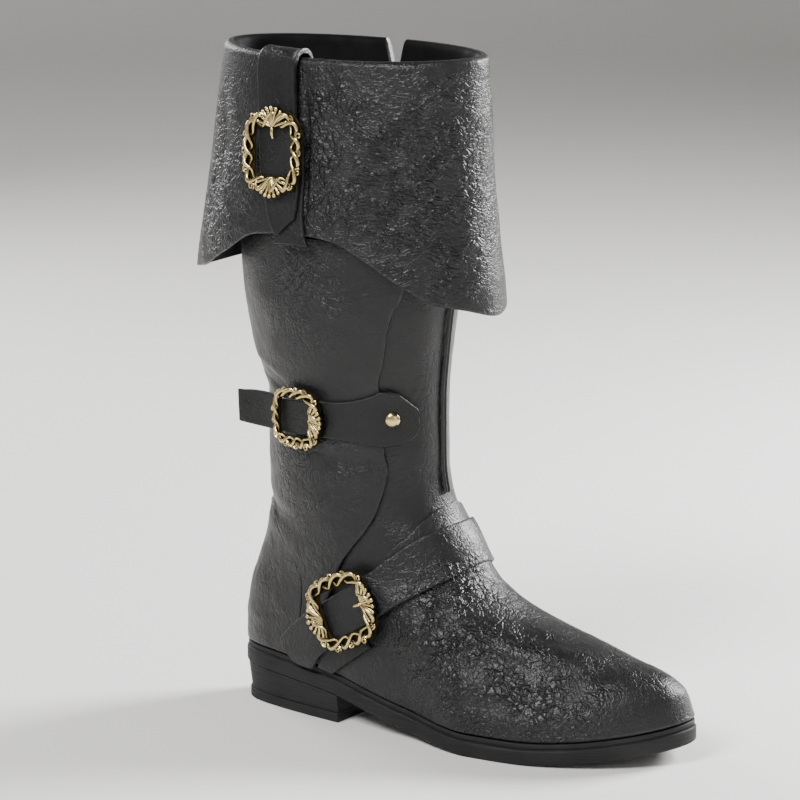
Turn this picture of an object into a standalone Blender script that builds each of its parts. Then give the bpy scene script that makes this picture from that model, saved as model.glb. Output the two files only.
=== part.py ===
"""A knee-high leather boot for the right foot, with a turned-down cuff and three buckled straps.

X runs from the heel to the toe, -Y is the outer side of the foot, +Z is up. The boot is modelled with
x = 0 at the back of the sole, and an empty then moves it so that the world's origin is at the middle of
the heel's bottom face.

The upper is a stack of rings. A place on it has two numbers: its turn, an angle that starts at the back
seam and passes the outer side, the front (half a turn) and the inner side, and its level, which is the
number of the ring counted from the sole.
"""

import math

import bmesh
import bpy
import numpy as np
from mathutils import Matrix, Vector

# Sole and heel, in metres
SOLE_LENGTH = 0.305
SOLE_WIDTH = 0.108
SOLE_THICKNESS = 0.0133
SOLE_EDGE = 0.0015
WELT = 0.0022
WELT_STEP = 0.0010
TOE_SPRING = 0.0115
TOE_TURN = 0.0146
WAIST_BOW = 0.0045
HEEL_HEIGHT = 0.0233
HEEL_LENGTH = 0.0865
HEEL_INSET = 0.0010
HEEL_TAPER = 0.0022
LIFT_THICKNESS = 0.0060
INSOLE_THICKNESS = 0.0030
INSOLE_ROOM = 0.0022

# Upper, in metres
BOOT_HEIGHT = 0.408
WALL = 0.0020
OVERLAY = 0.0012
SEAM_WIDTH = 0.0050
SEAM_HEIGHT = 0.0014

# Cuff, in metres
CUFF_THICKNESS = 0.0024
CUFF_DROP = 0.148
CUFF_FLARE = 0.0158
CUFF_SPREAD = 0.0146
CUFF_SHIFT = 0.0052
CUFF_TUCK = 0.012
TUCK_CLEARANCE = 0.0012
RIM_DIP = 0.0026
NOTCH_WIDTH = 0.014
NOTCH_DEPTH = 0.030

# Straps and fittings, in metres
STRAP = 0.0020
STUD_DIAMETER = 0.0092
STUD_HEIGHT = 0.0034
BUCKLE_THICKNESS = 0.0034
PRONG_DIAMETER = 0.0026
PRONG_LENGTH = 0.0060
SCALLOP_DEPTH = 0.0006
SHELL_REACH = 0.0033
ANKLE_BUCKLE_RISE = 0.0011
CALF_BUCKLE_RISE = -0.0005
CUFF_BUCKLE_RISE = -0.0002

# Clearance between pieces that touch
GAP = 0.0003
FACET_ROOM = 0.0002

# Level at which the pieces laid on the upper begin, clear of the sole
LAID_START = 0.1

# How finely the round forms are divided
COLUMNS = 36
SOLE_COLUMNS = 60
BUCKLE_COLUMNS = 32

SEAT = HEEL_HEIGHT + SOLE_THICKNESS
COLLAR = BOOT_HEIGHT - CUFF_THICKNESS - GAP
LEG = COLLAR - SEAT
LAYER_GAP = GAP + FACET_ROOM
OVERLAY_LIFT = LAYER_GAP
STRAP_BASE_LIFT = OVERLAY_LIFT + OVERLAY + LAYER_GAP
STRAP_LIFT = STRAP_BASE_LIFT + STRAP + LAYER_GAP
ANKLE_BUCKLE_LIFT = STRAP_LIFT + STRAP + GAP + ANKLE_BUCKLE_RISE
STUD_LIFT = STRAP_BASE_LIFT + STRAP + GAP
CALF_BUCKLE_LIFT = STUD_LIFT + CALF_BUCKLE_RISE
CUFF_BUCKLE_LIFT = CUFF_THICKNESS / 2 + 2 * (STRAP + GAP) + GAP + CUFF_BUCKLE_RISE

# Height of the sole's underside behind the ball: share of the length, share of the heel's height
ARCH = (
    (0.00, 1.00),
    (0.14, 0.93),
    (0.27, 0.79),
    (0.36, 0.53),
    (0.45, 0.27),
    (0.54, 0.08),
    (0.60, 0.00),
)

# Where the toe begins to rise, share of the length
SPRING_START = 0.71

# Stations along a ring, as shares of its length, for the half widths in the tables
STATIONS = (0.0, 0.12, 0.28, 0.45, 0.62, 0.78, 1.0)

# Half widths of the sole at the stations, shares of the sole's width
SOLE_HALF_WIDTHS = (0.600, 0.412, 0.372, 0.352, 0.488, 0.552, 0.535)

# Rings of the upper above the sole: back and front ends as shares of the sole's length, their rise as
# shares of the leg's height, how far the ring follows the sole's own curve, and its half widths at the
# stations as shares of the sole's width
RINGS = (
    # back, front, rise back, rise front, follow, half widths
    (0.007, 0.986, 0.023, 0.019, 0.90, 0.574, 0.410, 0.376, 0.358, 0.480, 0.525, 0.505),
    (0.007, 0.976, 0.049, 0.040, 0.80, 0.560, 0.410, 0.380, 0.368, 0.465, 0.470, 0.455),
    (0.010, 0.940, 0.076, 0.061, 0.65, 0.537, 0.400, 0.380, 0.366, 0.435, 0.407, 0.390),
    (0.016, 0.888, 0.104, 0.071, 0.50, 0.520, 0.390, 0.372, 0.361, 0.403, 0.375, 0.370),
    (0.029, 0.816, 0.134, 0.084, 0.35, 0.500, 0.380, 0.366, 0.356, 0.380, 0.366, 0.366),
    (0.043, 0.730, 0.164, 0.094, 0.20, 0.480, 0.375, 0.361, 0.356, 0.370, 0.370, 0.370),
    (0.056, 0.652, 0.191, 0.111, 0.10, 0.463, 0.370, 0.361, 0.356, 0.366, 0.370, 0.370),
    (0.064, 0.592, 0.218, 0.134, 0.00, 0.435, 0.366, 0.361, 0.356, 0.361, 0.366, 0.366),
    (0.068, 0.550, 0.244, 0.175, 0.00, 0.400, 0.361, 0.361, 0.361, 0.361, 0.361, 0.361),
    (0.069, 0.518, 0.270, 0.218, 0.00, 0.370, 0.366, 0.366, 0.366, 0.366, 0.366, 0.366),
    (0.069, 0.484, 0.297, 0.257, 0.00, 0.370, 0.370, 0.370, 0.370, 0.370, 0.370, 0.370),
    (0.068, 0.466, 0.326, 0.297, 0.00, 0.370, 0.370, 0.370, 0.370, 0.370, 0.370, 0.370),
    (0.068, 0.458, 0.354, 0.341, 0.00, 0.368, 0.368, 0.368, 0.368, 0.368, 0.368, 0.368),
    (0.068, 0.457, 0.384, 0.384, 0.00, 0.368, 0.368, 0.368, 0.368, 0.368, 0.368, 0.368),
    (0.067, 0.457, 0.444, 0.444, 0.00, 0.370, 0.370, 0.370, 0.370, 0.370, 0.370, 0.370),
    (0.049, 0.459, 0.480, 0.480, 0.00, 0.389, 0.389, 0.389, 0.389, 0.389, 0.389, 0.389),
    (0.035, 0.463, 0.515, 0.515, 0.00, 0.412, 0.412, 0.412, 0.412, 0.412, 0.412, 0.412),
    (0.027, 0.468, 0.553, 0.553, 0.00, 0.435, 0.435, 0.435, 0.435, 0.435, 0.435, 0.435),
    (0.015, 0.477, 0.613, 0.613, 0.00, 0.454, 0.454, 0.454, 0.454, 0.454, 0.454, 0.454),
    (0.002, 0.490, 0.716, 0.716, 0.00, 0.444, 0.444, 0.444, 0.444, 0.444, 0.444, 0.444),
    (-0.013, 0.508, 0.852, 0.852, 0.00, 0.417, 0.417, 0.417, 0.417, 0.417, 0.417, 0.417),
    (-0.030, 0.539, 1.000, 1.000, 0.00, 0.400, 0.400, 0.400, 0.400, 0.400, 0.400, 0.400),
)
TOP_LEVEL = len(RINGS)

# Middle of the notch in the rim, share of the sole's length
NOTCH_PLACE = 0.262

# Flare of the cuff below the collar: share of the drop, then shares of the flare, spread and shift
CUFF_ROWS = (
    (0.00, 0.00, 0.00, 0.00),
    (0.20, 0.19, 0.27, 0.30),
    (0.36, 0.31, 0.46, 0.53),
    (0.53, 0.47, 0.62, 0.78),
    (0.69, 0.67, 0.80, 0.93),
    (0.86, 0.89, 0.93, 1.00),
    (1.00, 1.00, 1.00, 1.00),
)

# Hem of the cuff on one side, from the back to the front: turn in degrees, share of the drop
HEM = (
    (0, 0.930),
    (38, 0.880),
    (55, 0.790),
    (72, 0.688),
    (90, 0.668),
    (104, 0.683),
    (117, 0.757),
    (130, 0.850),
    (143, 0.925),
    (158, 0.960),
    (180, 1.000),
)


# Outlines of what is laid on the upper, seen from the side: share of the sole's length, and height above
# the heel seat as a share of the leg's height
VAMP_EDGE = (
    (0.240, -0.060),
    (0.259, -0.002),
    (0.275, 0.044),
    (0.289, 0.077),
    (0.311, 0.115),
    (0.341, 0.139),
    (0.374, 0.169),
    (0.410, 0.210),
    (0.439, 0.234),
    (0.459, 0.259),
    (0.480, 0.285),
)
COUNTER_EDGE = (
    (-0.060, 0.270),
    (0.033, 0.256),
    (0.089, 0.243),
    (0.121, 0.215),
    (0.151, 0.183),
    (0.184, 0.153),
    (0.197, 0.130),
    (0.197, 0.105),
    (0.193, 0.066),
    (0.190, 0.004),
    (0.188, -0.060),
)
SIDE_EDGE = (
    (0.438, 0.730),
    (0.434, 0.660),
    (0.423, 0.617),
    (0.413, 0.603),
    (0.403, 0.573),
    (0.390, 0.514),
    (0.380, 0.484),
    (0.384, 0.420),
    (0.387, 0.365),
    (0.393, 0.340),
    (0.390, 0.313),
    (0.384, 0.291),
    (0.375, 0.262),
    (0.354, 0.232),
    (0.328, 0.205),
    (0.303, 0.176),
    (0.272, 0.118),
    (0.243, 0.058),
    (0.223, -0.002),
    (0.215, -0.060),
)
ANKLE_STRAP_UPPER = (
    (0.144, 0.025),
    (0.200, 0.069),
    (0.295, 0.125),
    (0.384, 0.178),
    (0.416, 0.202),
    (0.452, 0.226),
    (0.489, 0.243),
    (0.560, 0.262),
)
ANKLE_STRAP_LOWER = (
    (0.216, -0.012),
    (0.269, 0.023),
    (0.348, 0.068),
    (0.426, 0.115),
    (0.489, 0.149),
    (0.525, 0.169),
    (0.560, 0.188),
    (0.630, 0.200),
)
ANKLE_BASE_UPPER = (
    (0.243, -0.005),
    (0.269, 0.061),
    (0.330, 0.098),
)
ANKLE_BASE_LOWER = (
    (0.279, -0.012),
    (0.315, 0.007),
    (0.385, 0.048),
)

# Levels between which the front seam runs
FRONT_SEAM = (11.9, 21.3)

# Calf strap from its free tail to its tab
CALF_STRAP = (
    # turn in degrees, level of the lower edge and of the upper edge, how far it stands off
    (32.0, 14.10, 15.20, 0.0175),
    (40.0, 14.03, 15.08, 0.0090),
    (50.0, 13.99, 15.00, 0.0030),
    (62.0, 13.98, 14.95, 0.0004),
    (75.0, 14.02, 15.00, 0.0),
    (90.0, 14.05, 15.08, 0.0),
    (103.0, 14.03, 15.12, 0.0),
    (113.0, 14.00, 15.26, 0.0),
    (122.0, 13.92, 15.48, 0.0),
    (130.0, 13.86, 15.72, 0.0),
    (138.0, 13.92, 15.66, 0.0),
    (144.0, 14.02, 15.36, 0.0),
    (149.0, 14.14, 15.08, 0.0),
    (152.6, 14.32, 14.92, 0.0),
    (153.6, 14.50, 14.72, 0.0),
)

# Cuff strap and the band under it
CUFF_STRAP = (
    # row, turn of the back edge and of the front edge in degrees
    (-0.010, 83.4, 84.4),
    (0.060, 80.4, 88.6),
    (0.100, 79.4, 90.9),
    (0.180, 77.6, 91.3),
    (0.240, 75.9, 91.6),
    (0.480, 72.4, 89.7),
    (0.770, 68.4, 86.8),
    (1.000, 65.2, 84.9),
    (1.250, 65.2, 84.9),
    (1.500, 65.2, 84.9),
    (1.750, 65.2, 84.9),
    (2.000, 65.2, 84.9),
    (2.800, 65.2, 84.9),
)
CUFF_BAND = (
    (-0.065, 82.7, 96.6),
    (-0.020, 81.8, 94.9),
    (0.170, 76.8, 92.8),
    (0.300, 74.2, 92.6),
    (0.480, 71.4, 91.4),
    (0.640, 69.4, 90.0),
)

# Length and width of the buckles' frames and of their openings, in metres
ANKLE_FRAME = (0.057, 0.048)
ANKLE_OPENING = (0.030, 0.028)
CALF_FRAME = (0.045, 0.038)
CALF_OPENING = (0.024, 0.023)
CALF_OPENING_SHIFT = -0.0035
CUFF_FRAME = (0.057, 0.046)
CUFF_OPENING = (0.027, 0.028)

# Where the buckles' middles lie
BUCKLE_PLACES = {
    # name: turn, level or row, angle of the length to the ring, all turns in degrees
    "ankle": (75.5, 4.90, 34.0),
    "calf": (76.0, 14.50, 0.0),
    "cuff": (80.0, 0.480, 90.0),
}

# Section of a buckle's frame: share of the way from the opening to the outside, share of its thickness
BUCKLE_SECTION = ((0.08, 0.0), (0.92, 0.0), (1.0, 0.4), (0.75, 1.0), (0.25, 1.0), (0.0, 0.4))

# Turn in degrees and level of the stud
STUD_PLACE = (135.4, 14.66)


def through(stops, values, at, flat_ends=False):
    """Smooth curve through the values at the rising stops, with no overshoot between them.

    The values are one number a stop, or one array a stop in the shape of the places asked for.
    """
    at = np.asarray(at, float)
    stops = np.asarray(stops, float)
    values = np.asarray(values, float)
    column = (-1,) + (1,) * at.ndim
    if values.ndim == 1:
        values = np.broadcast_to(values.reshape(column), (len(stops),) + at.shape)
    slopes = np.diff(values, axis=0) / np.diff(stops).reshape(column)
    before = slopes[:-1]
    after = slopes[1:]
    same = before * after > 0
    middle = np.where(same, 2 * before * after / np.where(same, before + after, 1), 0)
    end_share = 0 if flat_ends else 1
    tangents = np.concatenate([slopes[:1] * end_share, middle, slopes[-1:] * end_share])
    at = np.clip(at, stops[0], stops[-1])
    low = np.clip(np.searchsorted(stops, at, side="right") - 1, 0, len(stops) - 2)
    span = np.diff(stops)[low]
    t = (at - stops[low]) / span
    start = np.take_along_axis(values, low[None], 0)[0]
    end = np.take_along_axis(values, low[None] + 1, 0)[0]
    leave = np.take_along_axis(tangents, low[None], 0)[0] * span
    arrive = np.take_along_axis(tangents, low[None] + 1, 0)[0] * span
    return (
        start * (1 + 2 * t) * (1 - t) ** 2
        + end * t * t * (3 - 2 * t)
        + leave * t * (1 - t) ** 2
        - arrive * t * t * (1 - t)
    )


def column(table, number, scale=1.0):
    """One column of a table, times the size that its shares follow."""
    return np.array([row[number] for row in table], float) * scale


def station_turns():
    """The turn at which a ring reaches each station of its length."""
    return np.arccos(1 - 2 * np.array(STATIONS))


def sole_bottom(x):
    """Height of the sole's underside: down the arch, level under the ball, up to the toe."""
    arch = through(column(ARCH, 0, SOLE_LENGTH), column(ARCH, 1, HEEL_HEIGHT), x)
    start = SPRING_START * SOLE_LENGTH
    lift = np.clip((x - start) / (SOLE_LENGTH - start), 0, 1)
    return arch + TOE_SPRING * lift ** 2


def feather(x):
    """Height of the sole's top face, where the upper meets it."""
    return sole_bottom(x) + SOLE_THICKNESS


def middle_line(x, waist_share):
    """How far a ring's middle lies to the inner side: out at the waist, in at the toe."""
    share = x / SOLE_LENGTH
    toe = np.clip((share - 0.5) / 0.5, 0, None) ** 1.6
    waist = np.exp(-(((share - 0.45) / 0.15) ** 2))
    return TOE_TURN * toe - WAIST_BOW * waist_share * waist


def sole_line(turn, inset):
    """The sole's outline at the given turns, drawn in by the inset: x and y."""
    turn = np.asarray(turn, float)
    x = inset + (SOLE_LENGTH - 2 * inset) * (1 - np.cos(turn)) / 2
    widths = np.array(SOLE_HALF_WIDTHS) * SOLE_WIDTH - inset
    half = through(station_turns(), widths, np.arccos(np.cos(turn)), flat_ends=True)
    return x, middle_line(x, 1.0) - half * np.sin(turn)


def ring_table():
    """All rings with their sizes in metres, the lowest one on the sole inside the welt."""
    start = GAP + 2 * FACET_ROOM
    lowest = [WELT, SOLE_LENGTH - WELT, start, start, 1.0]
    lowest += [share * SOLE_WIDTH - WELT for share in SOLE_HALF_WIDTHS]
    scales = [SOLE_LENGTH, SOLE_LENGTH, LEG, LEG, 1.0] + [SOLE_WIDTH] * len(STATIONS)
    return np.array([lowest] + [[a * b for a, b in zip(row, scales)] for row in RINGS])


def rim_dip(turn):
    """How far the rim dips on the outer side of the leg."""
    return RIM_DIP * np.clip(np.sin(turn), 0, None) ** 2


def leg_surface(turn, level):
    """Point of the upper's outer face: an ellipse-like ring between its back and front ends."""
    turn, level = np.broadcast_arrays(np.asarray(turn, float), np.asarray(level, float))
    table = ring_table()
    rows = np.arange(len(table))
    back, front, rise_back, rise_front, follow, *widths = [
        np.interp(level, rows, values) for values in table.T
    ]
    along = (1 - np.cos(turn)) / 2
    x = back + (front - back) * along
    half = through(station_turns(), np.array(widths), np.arccos(np.cos(turn)), flat_ends=True)
    y = middle_line(x, follow) - half * np.sin(turn)
    z = SEAT + follow * (feather(x) - SEAT) + rise_back + (rise_front - rise_back) * along
    z = z - rim_dip(turn) * np.clip(level - TOP_LEVEL + 2, 0, 2) / 2
    return np.stack([x, y, z], -1)


def hem_drop(turn):
    """How far the cuff's hem hangs below the collar at the given turns."""
    degrees = np.degrees(np.arccos(np.cos(turn)))
    return through(column(HEM, 0), column(HEM, 1, CUFF_DROP), degrees, flat_ends=True)


def cuff_surface(turn, row):
    """Point on the middle of the cuff's sheet.

    Rows from 0 to 1 run up the outside from the hem to the collar, from 1 to 2 over the collar in a
    half round, and from 2 to 3 down inside the shaft.
    """
    turn, row = np.broadcast_arrays(np.asarray(turn, float), np.asarray(row, float))
    fold = (WALL + CUFF_THICKNESS) / 2 + 2.5 * GAP
    roll = np.clip(row - 1, 0, 1) * math.pi
    reach = fold * np.cos(roll) - WALL / 2
    down = np.clip(1 - row, 0, None) * hem_drop(turn) - np.sin(roll) * fold
    down = down + np.clip(row - 2, 0, None) * CUFF_TUCK
    share = np.where(row < 1, np.clip(down, 0, None), 0) / CUFF_DROP
    stops = column(CUFF_ROWS, 0)
    past = np.clip(share - 1, 0, None)
    flare = (through(stops, column(CUFF_ROWS, 1), share) + past) * CUFF_FLARE
    spread = (through(stops, column(CUFF_ROWS, 2), share) + past) * CUFF_SPREAD
    shift = through(stops, column(CUFF_ROWS, 3), share) * CUFF_SHIFT
    inside = np.clip(row - 2, 0, None)
    shaft = ring_table()[-4:]
    rise = LEG - inside * CUFF_TUCK
    back = through(shaft[:, 2], shaft[:, 0], rise)
    front = through(shaft[:, 2], shaft[:, 1], rise)
    half_length = (front - back) / 2 + reach + flare - inside * TUCK_CLEARANCE
    half_width = through(shaft[:, 2], shaft[:, -1], rise) + reach + spread - inside * TUCK_CLEARANCE
    x = (back + front) / 2 - shift - half_length * np.cos(turn)
    y = middle_line(x, 0.0) - half_width * np.sin(turn)
    return np.stack([x, y, COLLAR - rim_dip(turn) - down], -1)


def lifted(surface, turn, level, lift):
    """Points at a height above a surface, along its outward normal."""
    step = 0.01
    around = surface(turn + step, level) - surface(turn - step, level)
    upward = surface(turn, level + step) - surface(turn, level - step)
    normal = np.cross(around, upward)
    normal /= np.linalg.norm(normal, axis=-1, keepdims=True)
    return surface(turn, level) + normal * np.asarray(lift, float)[..., None]


def boot_collection(name):
    """A new collection in the scene."""
    group = bpy.data.collections.new(name)
    bpy.context.scene.collection.children.link(group)
    return group


def material(name, color, roughness, metallic=0.0):
    """A plain surface finish."""
    finish = bpy.data.materials.new(name)
    finish.use_nodes = True
    shader = finish.node_tree.nodes["Principled BSDF"]
    shader.inputs["Base Color"].default_value = (*color, 1.0)
    shader.inputs["Roughness"].default_value = roughness
    shader.inputs["Metallic"].default_value = metallic
    return finish


def add_object(boot, name, mesh, finish):
    """Puts a mesh in the boot's collection, smooth where it is round."""
    piece = bpy.data.objects.new(name, mesh)
    boot["group"].objects.link(piece)
    piece.parent = boot["origin"]
    mesh.materials.append(boot["finishes"][finish])
    mesh.shade_smooth()
    mesh.set_sharp_from_angle(angle=math.radians(35))
    return piece


def grid_faces(rows, columns, closed):
    """Quads of a grid, facing out where its rows run up and its columns run round by the outer side."""
    faces = []
    for row in range(rows - 1):
        for start in range(columns if closed else columns - 1):
            end = (start + 1) % columns
            low = row * columns
            faces.append((low + start, low + end, low + columns + end, low + columns + start))
    return faces


def sheet(boot, name, points, thickness, finish, closed=False, side=1.0):
    """A sheet of even thickness on a grid of points: side 1 grows outward, -1 inward, 0 both ways."""
    rows, columns = points.shape[:2]
    mesh = bpy.data.meshes.new(name)
    mesh.from_pydata(points.reshape(-1, 3).tolist(), [], grid_faces(rows, columns, closed))
    piece = add_object(boot, name, mesh, finish)
    wall = piece.modifiers.new("Wall", "SOLIDIFY")
    wall.thickness = thickness
    wall.offset = side
    wall.use_even_offset = True
    return piece


def stack(boot, name, rings, finish):
    """A solid between its lowest and highest ring, capped by strips across the boot.

    The points of a ring run from the back by the outer side, and point i lies across from point -i.
    """
    rings = np.array(rings)
    levels, count = rings.shape[:2]
    faces = grid_faces(levels, count, closed=True)
    top = (levels - 1) * count
    for near in range((count + 1) // 2):
        across = [near, near + 1, (-near - 1) % count, -near % count]
        corners = list(dict.fromkeys(across))
        if len(corners) > 2:
            faces.append(corners[::-1])
            faces.append([top + corner for corner in corners])
    mesh = bpy.data.meshes.new(name)
    mesh.from_pydata(rings.reshape(-1, 3).tolist(), [], faces)
    return add_object(boot, name, mesh, finish)


def sole_ring(inset, height_of):
    """One ring of the sole: its outline drawn in, at the height that belongs to each place."""
    turn = np.arange(SOLE_COLUMNS) * 2 * math.pi / SOLE_COLUMNS
    x, y = sole_line(turn, inset)
    return np.stack([x, y, height_of(x)], -1)


def add_outsole(boot):
    """The outsole: a rounded lower edge, a straight side and a narrower welt on top."""
    step = SOLE_THICKNESS * 0.72
    rings = [
        sole_ring(SOLE_EDGE, sole_bottom),
        sole_ring(0.0, lambda x: sole_bottom(x) + SOLE_EDGE),
        sole_ring(0.0, lambda x: sole_bottom(x) + step),
        sole_ring(WELT_STEP, lambda x: sole_bottom(x) + step + SOLE_EDGE / 2),
        sole_ring(WELT_STEP, feather),
    ]
    stack(boot, "outsole", rings, "sole")


def heel_ring(inset, height_of):
    """One ring of the heel: the sole's outline behind the breast, closed straight across it."""
    breast = math.acos(1 - 2 * (HEEL_LENGTH - inset) / (SOLE_LENGTH - 2 * inset))
    outer = np.arange(SOLE_COLUMNS // 2) * 2 * math.pi / SOLE_COLUMNS
    outer = np.append(outer[outer < breast - 0.01], breast)
    turn = np.concatenate([outer, -outer[:0:-1]])
    x, y = sole_line(turn, inset)
    return np.stack([x, y, height_of(x)], -1)


def add_heel(boot):
    """The heel block under the sole and the top lift under the block."""
    lift_top = LIFT_THICKNESS
    block = [
        heel_ring(HEEL_INSET + HEEL_TAPER, lambda x: x * 0 + lift_top + GAP),
        heel_ring(HEEL_INSET, lambda x: sole_bottom(x) - GAP),
    ]
    stack(boot, "heel_block", block, "heel")
    lift = [
        heel_ring(HEEL_INSET + HEEL_TAPER / 2 + SOLE_EDGE / 2, lambda x: x * 0),
        heel_ring(HEEL_INSET + HEEL_TAPER / 2, lambda x: x * 0 + SOLE_EDGE / 2),
        heel_ring(HEEL_INSET + HEEL_TAPER / 2, lambda x: x * 0 + lift_top),
    ]
    stack(boot, "top_lift", lift, "sole")


def add_insole(boot):
    """The insole on the outsole, clear of the upper's wall."""
    inset = WELT + WALL + INSOLE_ROOM
    rings = [
        sole_ring(inset, lambda x: feather(x) + GAP),
        sole_ring(inset, lambda x: feather(x) + GAP + INSOLE_THICKNESS),
    ]
    stack(boot, "insole", rings, "lining")


def ring_turns():
    """Turns of the columns round the leg."""
    return np.arange(COLUMNS) * 2 * math.pi / COLUMNS


def add_upper(boot):
    """Foot and shaft: one hollow wall, open at the collar and where the sole closes it."""
    turn, level = np.meshgrid(ring_turns(), np.arange(TOP_LEVEL + 1))
    return sheet(boot, "upper", leg_surface(turn, level), WALL, "leather", closed=True, side=-1.0)


def add_cuff(boot):
    """The cuff: tucked into the shaft, folded over the collar and hanging outside to its hem."""
    rows = [0, 0.15, 0.31, 0.47, 0.64, 0.82, 1.0, 1.25, 1.5, 1.75, 2.0, 3.0]
    turn, row = np.meshgrid(ring_turns(), rows)
    return sheet(boot, "cuff", cuff_surface(turn, row), CUFF_THICKNESS, "leather", closed=True, side=0.0)


def band_points(surface, rows, across, lift):
    """Grid of a band: each row gives the turn and level of both edges and its own lift."""
    rows = np.array(rows)
    share = np.linspace(0, 1, across)
    turn = np.radians(rows[:, 0, None] + (rows[:, 2] - rows[:, 0])[:, None] * share)
    level = rows[:, 1, None] + (rows[:, 3] - rows[:, 1])[:, None] * share
    heights = lift + np.repeat(rows[:, 4, None], across, axis=1)
    return lifted(surface, turn, level, heights)


def refined(rows, steps):
    """More rows for a band or outline, on smooth curves through the given ones."""
    rows = np.array(rows)
    number = np.arange(len(rows))
    at = np.linspace(0, len(rows) - 1, (len(rows) - 1) * steps + 1)
    return np.stack([through(number, values, at) for values in rows.T], -1)


def side_outline(rows, steps=2):
    """An edge seen from the side, in metres: x and z of its points."""
    return [(x * SOLE_LENGTH, SEAT + rise * LEG) for x, rise in refined(rows, steps)]


def add_cutter(boot, name, outline, near, far):
    """A prism through the boot with an outline seen from the side, between two places across it."""
    flat = bpy.data.curves.new(name, "CURVE")
    flat.dimensions = "2D"
    flat.fill_mode = "BOTH"
    flat.extrude = (far - near) / 2
    spline = flat.splines.new("POLY")
    spline.points.add(len(outline) - 1)
    for point, (x, z) in zip(spline.points, outline):
        point.co = (x, z, 0, 1)
    spline.use_cyclic_u = True
    drawn = bpy.data.objects.new(name + "_outline", flat)
    boot["cutters"].objects.link(drawn)
    bpy.context.view_layer.update()
    mesh = bpy.data.meshes.new_from_object(drawn.evaluated_get(bpy.context.evaluated_depsgraph_get()))
    bpy.data.objects.remove(drawn)
    shape = bmesh.new()
    shape.from_mesh(mesh)
    bmesh.ops.remove_doubles(shape, verts=shape.verts, dist=0.00001)
    shape.to_mesh(mesh)
    shape.free()
    cutter = bpy.data.objects.new(name, mesh)
    boot["cutters"].objects.link(cutter)
    cutter.parent = boot["origin"]
    cutter.rotation_euler = (math.pi / 2, 0, 0)
    cutter.location = (0, (near + far) / 2, 0)
    cutter.hide_render = True
    cutter.display_type = "WIRE"
    return cutter


def cut(piece, cutter, operation):
    """Cuts a piece with a cutter."""
    change = piece.modifiers.new(cutter.name, "BOOLEAN")
    change.operation = operation
    change.object = cutter
    change.solver = "EXACT"


def laid_on(boot, name, outline, top_level, lift, thickness, finish, far=SOLE_WIDTH):
    """A piece laid on the upper: a shell over its rings, cut to an outline seen from the side."""
    turn, level = np.meshgrid(ring_turns(), [LAID_START, *range(1, top_level + 1)])
    points = lifted(leg_surface, turn, level, np.full(turn.shape, lift))
    piece = sheet(boot, name, points, thickness, finish, closed=True)
    cut(piece, add_cutter(boot, name + "_cutter", outline, -SOLE_WIDTH, far), "INTERSECT")
    return piece


def add_panels(boot):
    """The vamp, the heel counter and the side panel, laid on the upper edge to edge."""
    far_front = 1.2 * SOLE_LENGTH
    far_back = -0.2 * SOLE_LENGTH
    vamp_edge = side_outline(VAMP_EDGE)
    vamp = vamp_edge + [(far_front, vamp_edge[-1][1]), (far_front, vamp_edge[0][1])]
    laid_on(boot, "vamp", vamp, 14, OVERLAY_LIFT, OVERLAY, "leather")
    counter_edge = side_outline(COUNTER_EDGE)
    counter = counter_edge + [(far_back, counter_edge[-1][1]), (far_back, counter_edge[0][1])]
    laid_on(boot, "heel_counter", counter, 12, OVERLAY_LIFT, OVERLAY, "leather")
    front = side_outline(SIDE_EDGE)
    back = [(x + OVERLAY, z + OVERLAY) for x, z in counter_edge]
    side = front + back[::-1] + [(far_back, back[0][1]), (far_back, front[0][1])]
    laid_on(boot, "side_panel", side, 20, OVERLAY_LIFT, OVERLAY, "leather")


def add_notch(boot, upper, cuff):
    """The notch in the rim on the inner side of the leg, through the collar and the cuff."""
    middle = NOTCH_PLACE * SOLE_LENGTH
    above = BOOT_HEIGHT + CUFF_TUCK
    half = NOTCH_WIDTH / 2 * (1 + CUFF_TUCK / NOTCH_DEPTH)
    outline = [(middle, BOOT_HEIGHT - NOTCH_DEPTH), (middle + half, above), (middle - half, above)]
    cutter = add_cutter(boot, "notch_cutter", outline, 0.0, SOLE_WIDTH)
    cut(upper, cutter, "DIFFERENCE")
    cut(cuff, cutter, "DIFFERENCE")


def add_front_seam(boot):
    """The raised seam down the front of the shaft, from under the cuff to the vamp."""
    low, high = FRONT_SEAM
    level = np.linspace(low, high, 12)
    half_width = (leg_surface(-math.pi / 2, level)[:, 1] - leg_surface(math.pi / 2, level)[:, 1]) / 2
    half_angle = np.degrees(SEAM_WIDTH / 2 / half_width)
    rows = [(180 - a, at, 180 + a, at, 0) for a, at in zip(half_angle, level)]
    points = band_points(leg_surface, rows, 3, OVERLAY_LIFT)
    sheet(boot, "front_seam", points, SEAM_HEIGHT, "leather")


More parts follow.
